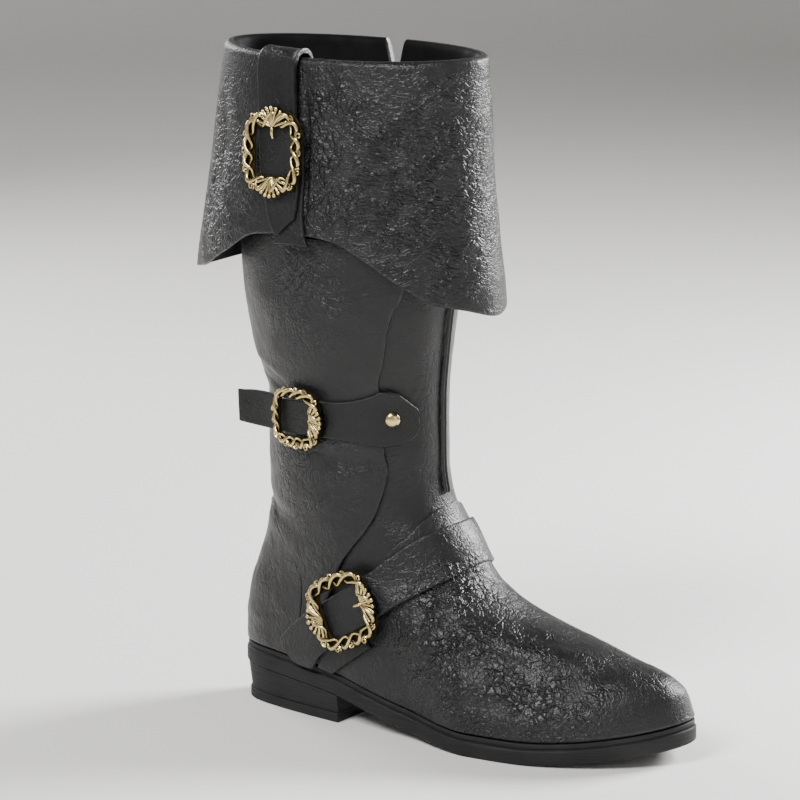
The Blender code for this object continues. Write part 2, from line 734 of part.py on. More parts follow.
def add_straps(boot):
    """The three straps with the short pieces under them."""
    main_strap = side_outline(ANKLE_STRAP_UPPER) + side_outline(ANKLE_STRAP_LOWER)[::-1]
    laid_on(boot, "ankle_strap", main_strap, 14, STRAP_LIFT, STRAP, "strap")
    base = side_outline(ANKLE_BASE_UPPER) + side_outline(ANKLE_BASE_LOWER)[::-1]
    laid_on(boot, "ankle_strap_base", base, 9, STRAP_BASE_LIFT, STRAP, "strap", far=0.0)
    calf = [(turn, low, turn, high, stand) for turn, low, high, stand in CALF_STRAP]
    points = band_points(leg_surface, calf, 4, STRAP_BASE_LIFT).swapaxes(0, 1)
    sheet(boot, "calf_strap", points, STRAP, "strap")
    sheet_lift = CUFF_THICKNESS / 2 + GAP
    band = [(back, row, front, row, 0) for row, back, front in CUFF_BAND]
    points = band_points(cuff_surface, band, 5, sheet_lift)
    sheet(boot, "cuff_band", points, STRAP, "strap")
    top = [(back, row, front, row, 0) for row, back, front in CUFF_STRAP]
    points = band_points(cuff_surface, top, 5, sheet_lift + STRAP + GAP)
    sheet(boot, "cuff_strap", points, STRAP, "strap")


def frame_at(surface, turn, level, lift, angle):
    """A place on a surface: point, direction of the length, direction across it, outward normal."""
    step = 0.01
    point = lifted(surface, turn, level, lift)
    outward = lifted(surface, turn, level, lift + step) - point
    outward /= np.linalg.norm(outward)
    around = surface(turn + step, level) - surface(turn - step, level)
    around -= outward * (around @ outward)
    around /= np.linalg.norm(around)
    upward = np.cross(outward, around)
    length = around * math.cos(angle) + upward * math.sin(angle)
    return point, length, np.cross(outward, length), outward


def rounded(angle, length, width, power):
    """A rectangle with rounded corners: its point in each direction from the middle."""
    reach = (np.abs(np.cos(angle)) ** power + np.abs(np.sin(angle)) ** power) ** (-1 / power)
    return length / 2 * reach * np.cos(angle), width / 2 * reach * np.sin(angle)


def add_buckle(boot, name, surface, lift, frame, opening, shells=(1.0, 1.0), shift=0.0):
    """An open frame, scalloped outside, with a shell at one or both ends of its length."""
    turn, level, angle = BUCKLE_PLACES[name.split("_")[0]]
    point, along, across, outward = frame_at(surface, math.radians(turn), level, lift, math.radians(angle))
    angle_at = np.arange(BUCKLE_COLUMNS) * 2 * math.pi / BUCKLE_COLUMNS
    shell = np.where(np.cos(angle_at) > 0, shells[0], shells[1]) * SHELL_REACH * np.cos(angle_at) ** 12
    reach = 1 + SCALLOP_DEPTH / frame[1] * 2 * np.cos(angle_at * 12)
    outer_u, outer_v = rounded(angle_at, frame[0] - 2 * SHELL_REACH, frame[1], 3)
    inner_u, inner_v = rounded(angle_at, *opening, 8)
    outer_u = outer_u * reach + shell * np.sign(np.cos(angle_at))
    outer_v = outer_v * reach
    inner_u = inner_u + shift
    rings = []
    for share, height in BUCKLE_SECTION:
        u = inner_u + (outer_u - inner_u) * share
        v = inner_v + (outer_v - inner_v) * share
        middle = point + outward * BUCKLE_THICKNESS * height
        rings.append(middle + u[:, None] * along + v[:, None] * across)
    points = np.array(rings).reshape(-1, 3)
    faces = np.array(grid_faces(len(rings) + 1, BUCKLE_COLUMNS, closed=True)) % len(points)
    mesh = bpy.data.meshes.new(name)
    mesh.from_pydata(points.tolist(), [], faces.tolist())
    add_object(boot, name, mesh, "brass")


def add_prong(boot, name, surface, lift, opening):
    """The buckle's prong: a tapered pin from the end of the opening over the strap."""
    turn, level, angle = BUCKLE_PLACES[name.split("_")[0]]
    point, along, across, outward = frame_at(surface, math.radians(turn), level, lift, math.radians(angle))
    root = opening[0] / 2 - GAP
    mesh = bpy.data.meshes.new(name)
    shape = bmesh.new()
    bmesh.ops.create_cone(
        shape, cap_ends=True, segments=10,
        radius1=PRONG_DIAMETER / 2, radius2=PRONG_DIAMETER / 4, depth=PRONG_LENGTH,
    )
    turned = Matrix([across, outward, -along]).transposed().to_4x4()
    middle = point + along * (root - PRONG_LENGTH / 2) + outward * PRONG_DIAMETER / 2
    turned.translation = Vector(middle)
    shape.transform(turned)
    bmesh.ops.recalc_face_normals(shape, faces=shape.faces)
    shape.to_mesh(mesh)
    shape.free()
    add_object(boot, name, mesh, "brass")


def add_stud(boot):
    """The domed stud on the tab of the calf strap."""
    turn, level = STUD_PLACE
    point, along, across, outward = frame_at(leg_surface, math.radians(turn), level, STUD_LIFT, 0.0)
    mesh = bpy.data.meshes.new("stud")
    shape = bmesh.new()
    bmesh.ops.create_cone(
        shape, cap_ends=True, segments=14,
        radius1=STUD_DIAMETER / 2, radius2=STUD_DIAMETER / 2, depth=STUD_HEIGHT,
    )
    turned = Matrix([along, across, outward]).transposed().to_4x4()
    turned.translation = Vector(point + outward * STUD_HEIGHT / 2)
    shape.transform(turned)
    shape.to_mesh(mesh)
    shape.free()
    piece = add_object(boot, "stud", mesh, "brass")
    dome = piece.modifiers.new("Dome", "BEVEL")
    dome.width = STUD_HEIGHT * 0.45
    dome.segments = 2


def main():
    for old in list(bpy.data.objects):
        bpy.data.objects.remove(old)
    origin = bpy.data.objects.new("boot_origin", None)
    bpy.context.scene.collection.objects.link(origin)
    origin.location = (-HEEL_LENGTH / 2, 0, 0)
    boot = {
        "group": boot_collection("cuffed_boot"),
        "cutters": boot_collection("cutters"),
        "origin": origin,
        "finishes": {
            "leather": material("black_leather", (0.030, 0.030, 0.031), 0.42),
            "strap": material("strap_leather", (0.022, 0.022, 0.023), 0.50),
            "sole": material("sole_rubber", (0.028, 0.028, 0.028), 0.75),
            "heel": material("heel_stack", (0.026, 0.026, 0.026), 0.65),
            "lining": material("black_lining", (0.010, 0.010, 0.011), 0.85),
            "brass": material("antique_brass", (0.52, 0.40, 0.19), 0.32, 1.0),
        },
    }
    add_outsole(boot)
    add_heel(boot)
    add_insole(boot)
    add_notch(boot, add_upper(boot), add_cuff(boot))
    add_panels(boot)
    add_front_seam(boot)
    add_straps(boot)
    add_buckle(boot, "ankle_buckle", leg_surface, ANKLE_BUCKLE_LIFT, ANKLE_FRAME, ANKLE_OPENING)
    add_buckle(boot, "calf_buckle", leg_surface, CALF_BUCKLE_LIFT, CALF_FRAME, CALF_OPENING,
               shells=(1.0, -1.0), shift=CALF_OPENING_SHIFT)
    add_buckle(boot, "cuff_buckle", cuff_surface, CUFF_BUCKLE_LIFT, CUFF_FRAME, CUFF_OPENING)
    add_prong(boot, "ankle_prong", leg_surface, ANKLE_BUCKLE_LIFT, ANKLE_OPENING)
    add_prong(boot, "cuff_prong", cuff_surface, CUFF_BUCKLE_LIFT, CUFF_OPENING)
    add_stud(boot)


if __name__ == "__main__":
    main()
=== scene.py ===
"""A knee-high cuffed boot with buckled straps, dressed over its solid model.

Sizes are in metres. X runs from the heel to the toe, -Y is the outer side of the right foot, +Z is up. The
shapes are worked out with x = 0 at the back of the sole, and each finished piece is then moved so that the
origin is at the middle of the heel's bottom face.

A place on the leg has a turn, an angle from the back seam by the outer side to the front (half a turn) and
on by the inner side, and a level, the number of the ring counted from the sole. A place on the cuff has a
turn and a row: 0 at the hem, 1 at the collar, 2 over the fold, 3 inside the shaft.
"""

import math

import bpy
import numpy as np
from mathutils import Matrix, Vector


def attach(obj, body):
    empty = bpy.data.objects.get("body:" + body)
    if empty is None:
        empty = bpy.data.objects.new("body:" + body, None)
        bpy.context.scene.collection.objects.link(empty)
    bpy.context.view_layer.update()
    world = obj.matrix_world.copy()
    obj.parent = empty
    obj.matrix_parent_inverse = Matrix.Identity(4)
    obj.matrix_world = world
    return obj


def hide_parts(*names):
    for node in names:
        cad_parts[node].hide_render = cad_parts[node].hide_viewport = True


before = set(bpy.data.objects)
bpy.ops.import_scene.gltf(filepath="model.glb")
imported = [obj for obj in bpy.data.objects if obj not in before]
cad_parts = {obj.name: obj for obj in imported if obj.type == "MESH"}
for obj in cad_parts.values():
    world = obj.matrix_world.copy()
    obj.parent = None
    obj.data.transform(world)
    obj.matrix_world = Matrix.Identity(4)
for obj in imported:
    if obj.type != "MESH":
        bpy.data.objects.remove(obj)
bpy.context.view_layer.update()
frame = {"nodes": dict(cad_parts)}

bl_info = {
    "name": "Cuffed boot",
    "version": (1, 0, 0),
    "blender": (4, 5, 0),
    "location": "View3D > Sidebar > Boot",
    "description": "Leather, straps, ornate buckles and sole of a knee-high cuffed boot",
    "category": "Object",
}

# Sole and heel, in metres
SOLE_LENGTH = 0.305
SOLE_WIDTH = 0.108
SOLE_THICKNESS = 0.0133
SOLE_EDGE = 0.0015
WELT = 0.0022
WELT_STEP = 0.0010
TOE_SPRING = 0.0115
TOE_TURN = 0.0146
WAIST_BOW = 0.0045
HEEL_HEIGHT = 0.0233
HEEL_LENGTH = 0.0865
HEEL_INSET = 0.0010
HEEL_TAPER = 0.0022
LIFT_THICKNESS = 0.0060
INSOLE_THICKNESS = 0.0030
INSOLE_ROOM = 0.0022

# Upper, in metres
BOOT_HEIGHT = 0.408
WALL = 0.0020
OVERLAY = 0.0012
SEAM_WIDTH = 0.0050
SEAM_HEIGHT = 0.0014

# Cuff, in metres
CUFF_THICKNESS = 0.0024
CUFF_DROP = 0.148
CUFF_FLARE = 0.0158
CUFF_SPREAD = 0.0146
CUFF_SHIFT = 0.0052
CUFF_TUCK = 0.012
TUCK_CLEARANCE = 0.0012
RIM_DIP = 0.0026
NOTCH_WIDTH = 0.014
NOTCH_DEPTH = 0.030

# Straps and fittings, in metres
STRAP = 0.0020
STUD_DIAMETER = 0.0092
STUD_HEIGHT = 0.0034
BUCKLE_THICKNESS = 0.0034
PRONG_DIAMETER = 0.0026
PRONG_LENGTH = 0.0060
SHELL_REACH = 0.0033
ANKLE_BUCKLE_RISE = 0.0011
CALF_BUCKLE_RISE = -0.0005
CUFF_BUCKLE_RISE = -0.0002

# Clearance between pieces that touch, and how far each layer stands off the upper
GAP = 0.0003
FACET_ROOM = 0.0002
LAYER_GAP = GAP + FACET_ROOM

SEAT = HEEL_HEIGHT + SOLE_THICKNESS
COLLAR = BOOT_HEIGHT - CUFF_THICKNESS - GAP
LEG = COLLAR - SEAT
PANEL_LIFT = LAYER_GAP
STRAP_BASE_LIFT = PANEL_LIFT + OVERLAY + LAYER_GAP
STRAP_LIFT = STRAP_BASE_LIFT + STRAP + LAYER_GAP
CUFF_BAND_LIFT = CUFF_THICKNESS / 2 + GAP
CUFF_STRAP_LIFT = CUFF_BAND_LIFT + STRAP + GAP

# Height of the sole's underside behind the ball: share of the length, share of the heel's height
ARCH = (
    (0.00, 1.00),
    (0.14, 0.93),
    (0.27, 0.79),
    (0.36, 0.53),
    (0.45, 0.27),
    (0.54, 0.08),
    (0.60, 0.00),
)

# Where the toe begins to rise, share of the length
SPRING_START = 0.71

# Stations along a ring, as shares of its length, for the half widths in the tables
STATIONS = (0.0, 0.12, 0.28, 0.45, 0.62, 0.78, 1.0)

# Half widths of the sole at the stations, shares of the sole's width
SOLE_HALF_WIDTHS = (0.600, 0.412, 0.372, 0.352, 0.488, 0.552, 0.535)

# Rings of the upper above the sole: back and front ends as shares of the sole's length, their rise as
# shares of the leg's height, how far the ring follows the sole's own curve, and its half widths at the
# stations as shares of the sole's width
RINGS = (
    # back, front, rise back, rise front, follow, half widths
    (0.007, 0.986, 0.023, 0.019, 0.90, 0.574, 0.410, 0.376, 0.358, 0.480, 0.525, 0.505),
    (0.007, 0.976, 0.049, 0.040, 0.80, 0.560, 0.410, 0.380, 0.368, 0.465, 0.470, 0.455),
    (0.010, 0.940, 0.076, 0.061, 0.65, 0.537, 0.400, 0.380, 0.366, 0.435, 0.407, 0.390),
    (0.016, 0.888, 0.104, 0.071, 0.50, 0.520, 0.390, 0.372, 0.361, 0.403, 0.375, 0.370),
    (0.029, 0.816, 0.134, 0.084, 0.35, 0.500, 0.380, 0.366, 0.356, 0.380, 0.366, 0.366),
    (0.043, 0.730, 0.164, 0.094, 0.20, 0.480, 0.375, 0.361, 0.356, 0.370, 0.370, 0.370),
    (0.056, 0.652, 0.191, 0.111, 0.10, 0.463, 0.370, 0.361, 0.356, 0.366, 0.370, 0.370),
    (0.064, 0.592, 0.218, 0.134, 0.00, 0.435, 0.366, 0.361, 0.356, 0.361, 0.366, 0.366),
    (0.068, 0.550, 0.244, 0.175, 0.00, 0.400, 0.361, 0.361, 0.361, 0.361, 0.361, 0.361),
    (0.069, 0.518, 0.270, 0.218, 0.00, 0.370, 0.366, 0.366, 0.366, 0.366, 0.366, 0.366),
    (0.069, 0.484, 0.297, 0.257, 0.00, 0.370, 0.370, 0.370, 0.370, 0.370, 0.370, 0.370),
    (0.068, 0.466, 0.326, 0.297, 0.00, 0.370, 0.370, 0.370, 0.370, 0.370, 0.370, 0.370),
    (0.068, 0.458, 0.354, 0.341, 0.00, 0.368, 0.368, 0.368, 0.368, 0.368, 0.368, 0.368),
    (0.068, 0.457, 0.384, 0.384, 0.00, 0.368, 0.368, 0.368, 0.368, 0.368, 0.368, 0.368),
    (0.067, 0.457, 0.444, 0.444, 0.00, 0.370, 0.370, 0.370, 0.370, 0.370, 0.370, 0.370),
    (0.049, 0.459, 0.480, 0.480, 0.00, 0.389, 0.389, 0.389, 0.389, 0.389, 0.389, 0.389),
    (0.035, 0.463, 0.515, 0.515, 0.00, 0.412, 0.412, 0.412, 0.412, 0.412, 0.412, 0.412),
    (0.027, 0.468, 0.553, 0.553, 0.00, 0.435, 0.435, 0.435, 0.435, 0.435, 0.435, 0.435),
    (0.015, 0.477, 0.613, 0.613, 0.00, 0.454, 0.454, 0.454, 0.454, 0.454, 0.454, 0.454),
    (0.002, 0.490, 0.716, 0.716, 0.00, 0.444, 0.444, 0.444, 0.444, 0.444, 0.444, 0.444),
    (-0.013, 0.508, 0.852, 0.852, 0.00, 0.417, 0.417, 0.417, 0.417, 0.417, 0.417, 0.417),
    (-0.030, 0.539, 1.000, 1.000, 0.00, 0.400, 0.400, 0.400, 0.400, 0.400, 0.400, 0.400),
)
TOP_LEVEL = len(RINGS)

# Middle of the notch in the rim, share of the sole's length
NOTCH_PLACE = 0.262

# Flare of the cuff below the collar: share of the drop, then shares of the flare, spread and shift
CUFF_ROWS = (
    (0.00, 0.00, 0.00, 0.00),
    (0.20, 0.19, 0.27, 0.30),
    (0.36, 0.31, 0.46, 0.53),
    (0.53, 0.47, 0.62, 0.78),
    (0.69, 0.67, 0.80, 0.93),
    (0.86, 0.89, 0.93, 1.00),
    (1.00, 1.00, 1.00, 1.00),
)

# Hem of the cuff on one side, from the back to the front: turn in degrees, share of the drop
HEM = (
    (0, 0.930),
    (38, 0.880),
    (55, 0.790),
    (72, 0.688),
    (90, 0.668),
    (104, 0.683),
    (117, 0.757),
    (130, 0.850),
    (143, 0.925),
    (158, 0.960),
    (180, 1.000),
)


# Outlines of what is laid on the upper, seen from the side: share of the sole's length, and height above
# the heel seat as a share of the leg's height
VAMP_EDGE = (
    (0.240, -0.060),
    (0.259, -0.002),
    (0.275, 0.044),
    (0.289, 0.077),
    (0.311, 0.115),
    (0.341, 0.139),
    (0.374, 0.169),
    (0.410, 0.210),
    (0.439, 0.234),
    (0.459, 0.259),
    (0.480, 0.285),
)
COUNTER_EDGE = (
    (-0.060, 0.270),
    (0.033, 0.256),
    (0.089, 0.243),
    (0.121, 0.215),
    (0.151, 0.183),
    (0.184, 0.153),
    (0.197, 0.130),
    (0.197, 0.105),
    (0.193, 0.066),
    (0.190, 0.004),
    (0.188, -0.060),
)
SIDE_EDGE = (
    (0.438, 0.730),
    (0.434, 0.660),
    (0.423, 0.617),
    (0.413, 0.603),
    (0.403, 0.573),
    (0.390, 0.514),
    (0.380, 0.484),
    (0.384, 0.420),
    (0.387, 0.365),
    (0.393, 0.340),
    (0.390, 0.313),
    (0.384, 0.291),
    (0.375, 0.262),
    (0.354, 0.232),
    (0.328, 0.205),
    (0.303, 0.176),
    (0.272, 0.118),
    (0.243, 0.058),
    (0.223, -0.002),
    (0.215, -0.060),
)
ANKLE_STRAP_UPPER = (
    (0.144, 0.025),
    (0.200, 0.069),
    (0.295, 0.125),
    (0.384, 0.178),
    (0.416, 0.202),
    (0.452, 0.226),
    (0.489, 0.243),
    (0.560, 0.262),
)
ANKLE_STRAP_LOWER = (
    (0.216, -0.012),
    (0.269, 0.023),
    (0.348, 0.068),
    (0.426, 0.115),
    (0.489, 0.149),
    (0.525, 0.169),
    (0.560, 0.188),
    (0.630, 0.200),
)
ANKLE_BASE_UPPER = (
    (0.243, -0.005),
    (0.269, 0.061),
    (0.330, 0.098),
)
ANKLE_BASE_LOWER = (
    (0.279, -0.012),
    (0.315, 0.007),
    (0.385, 0.048),
)

# Levels between which the front seam runs
FRONT_SEAM = (11.9, 21.3)

# Calf strap from its free tail to its tab
CALF_STRAP = (
    # turn in degrees, level of the lower edge and of the upper edge, how far it stands off
    (32.0, 14.10, 15.20, 0.0175),
    (40.0, 14.03, 15.08, 0.0090),
    (50.0, 13.99, 15.00, 0.0030),
    (62.0, 13.98, 14.95, 0.0004),
    (75.0, 14.02, 15.00, 0.0),
    (90.0, 14.05, 15.08, 0.0),
    (103.0, 14.03, 15.12, 0.0),
    (113.0, 14.00, 15.26, 0.0),
    (122.0, 13.92, 15.48, 0.0),
    (130.0, 13.86, 15.72, 0.0),
    (138.0, 13.92, 15.66, 0.0),
    (144.0, 14.02, 15.36, 0.0),
    (149.0, 14.14, 15.08, 0.0),
    (152.6, 14.32, 14.92, 0.0),
    (153.6, 14.50, 14.72, 0.0),
)

# Cuff strap and the band under it
CUFF_STRAP = (
    # row, turn of the back edge and of the front edge in degrees
    (-0.010, 83.4, 84.4),
    (0.060, 80.4, 88.6),
    (0.100, 79.4, 90.9),
    (0.180, 77.6, 91.3),
    (0.240, 75.9, 91.6),
    (0.480, 72.4, 89.7),
    (0.770, 68.4, 86.8),
    (1.000, 65.2, 84.9),
    (1.250, 65.2, 84.9),
    (1.500, 65.2, 84.9),
    (1.750, 65.2, 84.9),
    (2.000, 65.2, 84.9),
    (2.800, 65.2, 84.9),
)
CUFF_BAND = (
    (-0.065, 82.7, 96.6),
    (-0.020, 81.8, 94.9),
    (0.170, 76.8, 92.8),
    (0.300, 74.2, 92.6),
    (0.480, 71.4, 91.4),
    (0.640, 69.4, 90.0),
)

# Length and width of the buckles' frames and of their openings, in metres
ANKLE_FRAME = (0.057, 0.048)
ANKLE_OPENING = (0.030, 0.028)
CALF_FRAME = (0.045, 0.038)
CALF_OPENING = (0.024, 0.023)
CALF_OPENING_SHIFT = -0.0035
CUFF_FRAME = (0.057, 0.046)
CUFF_OPENING = (0.027, 0.028)

# Where the buckles' middles lie
BUCKLE_PLACES = {
    # name: turn, level or row, angle of the length to the ring, all turns in degrees
    "ankle": (75.5, 4.90, 34.0),
    "calf": (76.0, 14.50, 0.0),
    "cuff": (80.0, 0.480, 90.0),
}

# Turn in degrees and level of the stud
STUD_PLACE = (135.4, 14.66)

# Main creases of the leg: three places along each, turn in degrees and level, then half width and depth
LEG_CREASES = (
    # start, middle, end, half width, depth
    ((24.0, 16.22), (44.3, 15.82), (66.0, 15.30), 0.0046, 0.0020),
    ((86.0, 13.30), (108.0, 13.10), (128.0, 13.42), 0.0050, 0.0012),
    ((10.0, 9.60), (34.0, 9.20), (60.0, 8.80), 0.0060, 0.0012),
    ((120.0, 4.10), (140.0, 3.70), (160.0, 3.90), 0.0050, 0.0007),
    ((112.0, 3.10), (130.0, 2.90), (150.0, 3.10), 0.0050, 0.0006),
    ((146.0, 6.10), (164.0, 5.50), (180.0, 5.40), 0.0055, 0.0007),
)
CUFF_CREASES = (
    # the slit where the front of the cuff begins, beside the strap
    ((94.2, 0.02), (92.6, 0.48), (88.6, 0.86), 0.0017, 0.0022),
    ((118.0, 0.14), (126.0, 0.40), (122.0, 0.70), 0.0060, 0.0010),
    ((148.0, 0.10), (152.0, 0.42), (146.0, 0.80), 0.0080, 0.0009),
    ((38.0, 0.12), (44.0, 0.50), (40.0, 0.85), 0.0070, 0.0009),
)

# Where the fine wrinkles are strong, with the tops of their cells painted paler there as painted highlight,
# and where the cuff's are drawn out sideways
LEG_WRINKLES = (
    # turn in degrees, level, radius, amount
    (100.0, 3.4, 0.026, 0.75),
    (112.0, 2.0, 0.030, 0.60),
    (118.0, 6.4, 0.024, 0.55),
    (150.0, 8.2, 0.020, 0.65),
    (128.0, 1.3, 0.030, 0.35),
    (92.0, 19.2, 0.022, 0.60),
    (60.0, 12.6, 0.030, 0.25),
    (78.0, 12.4, 0.026, 0.25),
)
CUFF_WRINKLES = (
    # turn in degrees, row, radius, amount
    (100.0, 0.82, 0.024, 0.60),
    (104.0, 0.62, 0.026, 0.80),
    (112.0, 0.46, 0.028, 0.80),
    (106.0, 0.30, 0.024, 0.70),
    (118.0, 0.16, 0.022, 0.60),
    (132.0, 0.50, 0.040, 0.45),
    (150.0, 0.30, 0.045, 0.45),
    (152.0, 0.75, 0.040, 0.40),
    (40.0, 0.50, 0.030, 0.55),
    (44.0, 0.20, 0.026, 0.50),
)
CUFF_DRAWN = (
    (146.0, 0.30, 0.050, 1.0),
    (150.0, 0.70, 0.045, 1.0),
    (165.0, 0.50, 0.050, 1.0),
)

# Rounding of the sheets' edges, how far their wear reaches, the gap at the back seam and the rolled edge
# of the cuff strap, in metres
EDGE_ROUND = 0.0008
EDGE_WEAR = 0.0005
SEAM_GAP = 0.0003
STRAP_RIDGE = 0.0009

# Levels up to which the panels' and straps' edges are looked for, and the top of the side panel
EDGE_TOP = 14
COUNTER_TOP = 12
SIDE_TOP = 20

# Place of the ankle strap's tail, share of the sole's length
TAIL_PLACE = 0.150

# Turns in degrees where the ankle strap passes from over its short piece to the upper: start and length
STRAP_STEP = (94, 30)

# Middle and half width, in degrees, of the part of the cuff that stays flat under its strap
FLAT_UNDER_STRAP = (81, 12)

# Height of the groove under the welt, share of the sole's thickness, and its depth and width
WELT_PLACE = 0.72
GROOVE_DEPTH = 0.0003
GROOVE_WIDTH = 0.0005

# Faces that meet at a larger angle than this, in degrees, keep a sharp edge
SHARP_ANGLE = 48

# Waves of the buckles' bars round their frame, and layers of the heel
STRAND_WAVES = 7
HEEL_LAYERS = 5

# Lines of the grids round and up the pieces, and steps between two rows of an edge
LEG_COLUMNS = 240
LEG_ROWS = 190
LINING_ROWS = 70
CUFF_COLUMNS = 400
BUCKLE_COLUMNS = 240
EDGE_STEPS = 6
SOLE_COLUMNS = 220
INSOLE_COLUMNS = 160

# Relief of each piece: depth and width of its waves, seed of their noise, depth of its net of wrinkles
RELIEF = {
    # piece: depth, width, seed, net
    "upper_leather": (0.0004, 0.035, 3, 0.00015),
    "vamp_leather": (0.00035, 0.030, 11, 0.00018),
    "counter_leather": (0.00035, 0.030, 17, 0.00018),
    "side_leather_outer": (0.00035, 0.030, 23, 0.00018),
    "side_leather_inner": (0.00035, 0.030, 29, 0.00018),
    "cuff_leather": (0.0011, 0.050, 41, 0.0),
    "ankle_strap_leather": (0.0003, 0.028, 61, 0.00016),
    "calf_strap_leather": (0.00020, 0.020, 67, 0.0),
    "cuff_band_leather": (0.00018, 0.018, 71, 0.0),
    "cuff_strap_leather": (0.00018, 0.018, 71, 0.0),
}

# Seed, width and depth of the cuff's net of wrinkles, and width of the other leathers'
CUFF_NET = (77, 0.0065, 0.00032)
NET_WIDTH = 0.0085

# How wrinkled the leather and the straps are away from the patches in the tables
LEATHER_WRINKLED = 0.12
STRAP_WRINKLED = 0.22

# How far the upper's face is drawn in under the panels, and how wide their relief fades out to their edges
UNDER_PANELS = 0.0003
PANEL_FADE = 0.004

# Section of a buckle's dark plate: share of the way from the opening to the outline, height
PLATE_SECTION = (
    (0.04, 0.0),
    (0.92, 0.0),
    (0.98, 0.0008),
    (0.80, 0.0014),
    (0.20, 0.0014),
    (0.02, 0.0008),
)

# The two bars of a buckle's frame: middle and swing of their way across it, of their height and thickness
BAR_ACROSS = (0.47, 0.33)
BAR_HEIGHT = (0.0024, 0.0010)
BAR_RADIUS = (0.00122, 0.00034)

# Curls of a buckle: turns, radius, thickness of the bar and height, the last three in metres
CURL = (1.35, 0.0024, 0.00090, 0.0027)

# Shells of a buckle: petals, lean of the outer ones in degrees, share of the frame's width, height in metres
PETALS = 9
PETAL_LEAN = 72
SHELL_WIDTH = 0.23
SHELL_HEIGHT = 0.0022

# Height of a buckle's ornament as it is drawn below, before it is fitted to the buckle's thickness
ORNAMENT_HEIGHT = 0.0034

# How much narrower a buckle's bars are than its frame
FRAME_INSET = 0.0012

UP = np.array([0.0, 0.0, 1.0])

# Flat part and rim of the floor, in metres
FLOOR_RADIUS = 3.0
FLOOR_CURVE = 1.2
FLOOR_RIM = 4.25
FLOOR_HEIGHT = 3.2

# Camera: place and target in metres, lens in millimetres, sideways shift of the picture
CAMERA_PLACE = (1.38747, -1.99073, 0.731)
CAMERA_TARGET = (0.08675, 0.0, 0.20)
CAMERA_LENS = 183.06
CAMERA_SHIFT = -0.0366

LIGHTS = (
    # name, place, target, size, share of the power
    ("key", (-0.15, -1.7, 1.9), (0.08, 0.0, 0.20), 0.9, 1.1),
    ("fill", (2.2, -1.2, 0.9), (0.10, 0.0, 0.20), 1.4, 0.09),
    ("rim_right", (0.85, 1.25, 0.8), (0.10, 0.0, 0.24), 0.6, 1.25),
    ("rim_left", (-1.5, 0.55, 0.8), (0.00, 0.0, 0.24), 0.6, 0.26),
)

FINISH_NAMES = {
    "leather": "crinkled_leather",
    "strap": "strap_leather",
    "lining": "black_lining",
    "sole": "sole_rubber",
    "heel": "heel_stack",
    "brass": "antique_brass",
}


def through(stops, values, at, flat_ends=False):
    """Smooth curve through the values at the rising stops, with no overshoot between them.

    The values are one number a stop, or one array a stop in the shape of the places asked for.
    """
    at = np.asarray(at, float)
    stops = np.asarray(stops, float)
    values = np.asarray(values, float)
    column = (-1,) + (1,) * at.ndim
    if values.ndim == 1:
        values = np.broadcast_to(values.reshape(column), (len(stops),) + at.shape)
    slopes = np.diff(values, axis=0) / np.diff(stops).reshape(column)
    before = slopes[:-1]
    after = slopes[1:]
    same = before * after > 0
    middle = np.where(same, 2 * before * after / np.where(same, before + after, 1), 0)
    end_share = 0 if flat_ends else 1
    tangents = np.concatenate([slopes[:1] * end_share, middle, slopes[-1:] * end_share])
    at = np.clip(at, stops[0], stops[-1])
    low = np.clip(np.searchsorted(stops, at, side="right") - 1, 0, len(stops) - 2)
    span = np.diff(stops)[low]
    t = (at - stops[low]) / span
    start = np.take_along_axis(values, low[None], 0)[0]
    end = np.take_along_axis(values, low[None] + 1, 0)[0]
    leave = np.take_along_axis(tangents, low[None], 0)[0] * span
    arrive = np.take_along_axis(tangents, low[None] + 1, 0)[0] * span
    return (
        start * (1 + 2 * t) * (1 - t) ** 2
        + end * t * t * (3 - 2 * t)
        + leave * t * (1 - t) ** 2
        - arrive * t * t * (1 - t)
    )


def column(table, number, scale=1.0):
    """One column of a table, times the size that its shares follow."""
    return np.array([row[number] for row in table], float) * scale


def station_turns():
    """The turn at which a ring reaches each station of its length."""
    return np.arccos(1 - 2 * np.array(STATIONS))


def sole_bottom(x):
    """Height of the sole's underside: down the arch, level under the ball, up to the toe."""
    arch = through(column(ARCH, 0, SOLE_LENGTH), column(ARCH, 1, HEEL_HEIGHT), x)
    start = SPRING_START * SOLE_LENGTH
    lift = np.clip((x - start) / (SOLE_LENGTH - start), 0, 1)
    return arch + TOE_SPRING * lift ** 2


def feather(x):
    """Height of the sole's top face, where the upper meets it."""
    return sole_bottom(x) + SOLE_THICKNESS


def middle_line(x, waist_share):
    """How far a ring's middle lies to the inner side: out at the waist, in at the toe."""
    share = x / SOLE_LENGTH
    toe = np.clip((share - 0.5) / 0.5, 0, None) ** 1.6
    waist = np.exp(-(((share - 0.45) / 0.15) ** 2))
    return TOE_TURN * toe - WAIST_BOW * waist_share * waist


def sole_line(turn, inset):
    """The sole's outline at the given turns, drawn in by the inset: x and y."""
    turn = np.asarray(turn, float)
    x = inset + (SOLE_LENGTH - 2 * inset) * (1 - np.cos(turn)) / 2
    widths = np.array(SOLE_HALF_WIDTHS) * SOLE_WIDTH - inset
    half = through(station_turns(), widths, np.arccos(np.cos(turn)), flat_ends=True)
    return x, middle_line(x, 1.0) - half * np.sin(turn)


def ring_table():
    """All rings with their sizes in metres, the lowest one on the sole inside the welt."""
    start = GAP + 2 * FACET_ROOM
    lowest = [WELT, SOLE_LENGTH - WELT, start, start, 1.0]
    lowest += [share * SOLE_WIDTH - WELT for share in SOLE_HALF_WIDTHS]
    scales = [SOLE_LENGTH, SOLE_LENGTH, LEG, LEG, 1.0] + [SOLE_WIDTH] * len(STATIONS)
    return np.array([lowest] + [[a * b for a, b in zip(row, scales)] for row in RINGS])


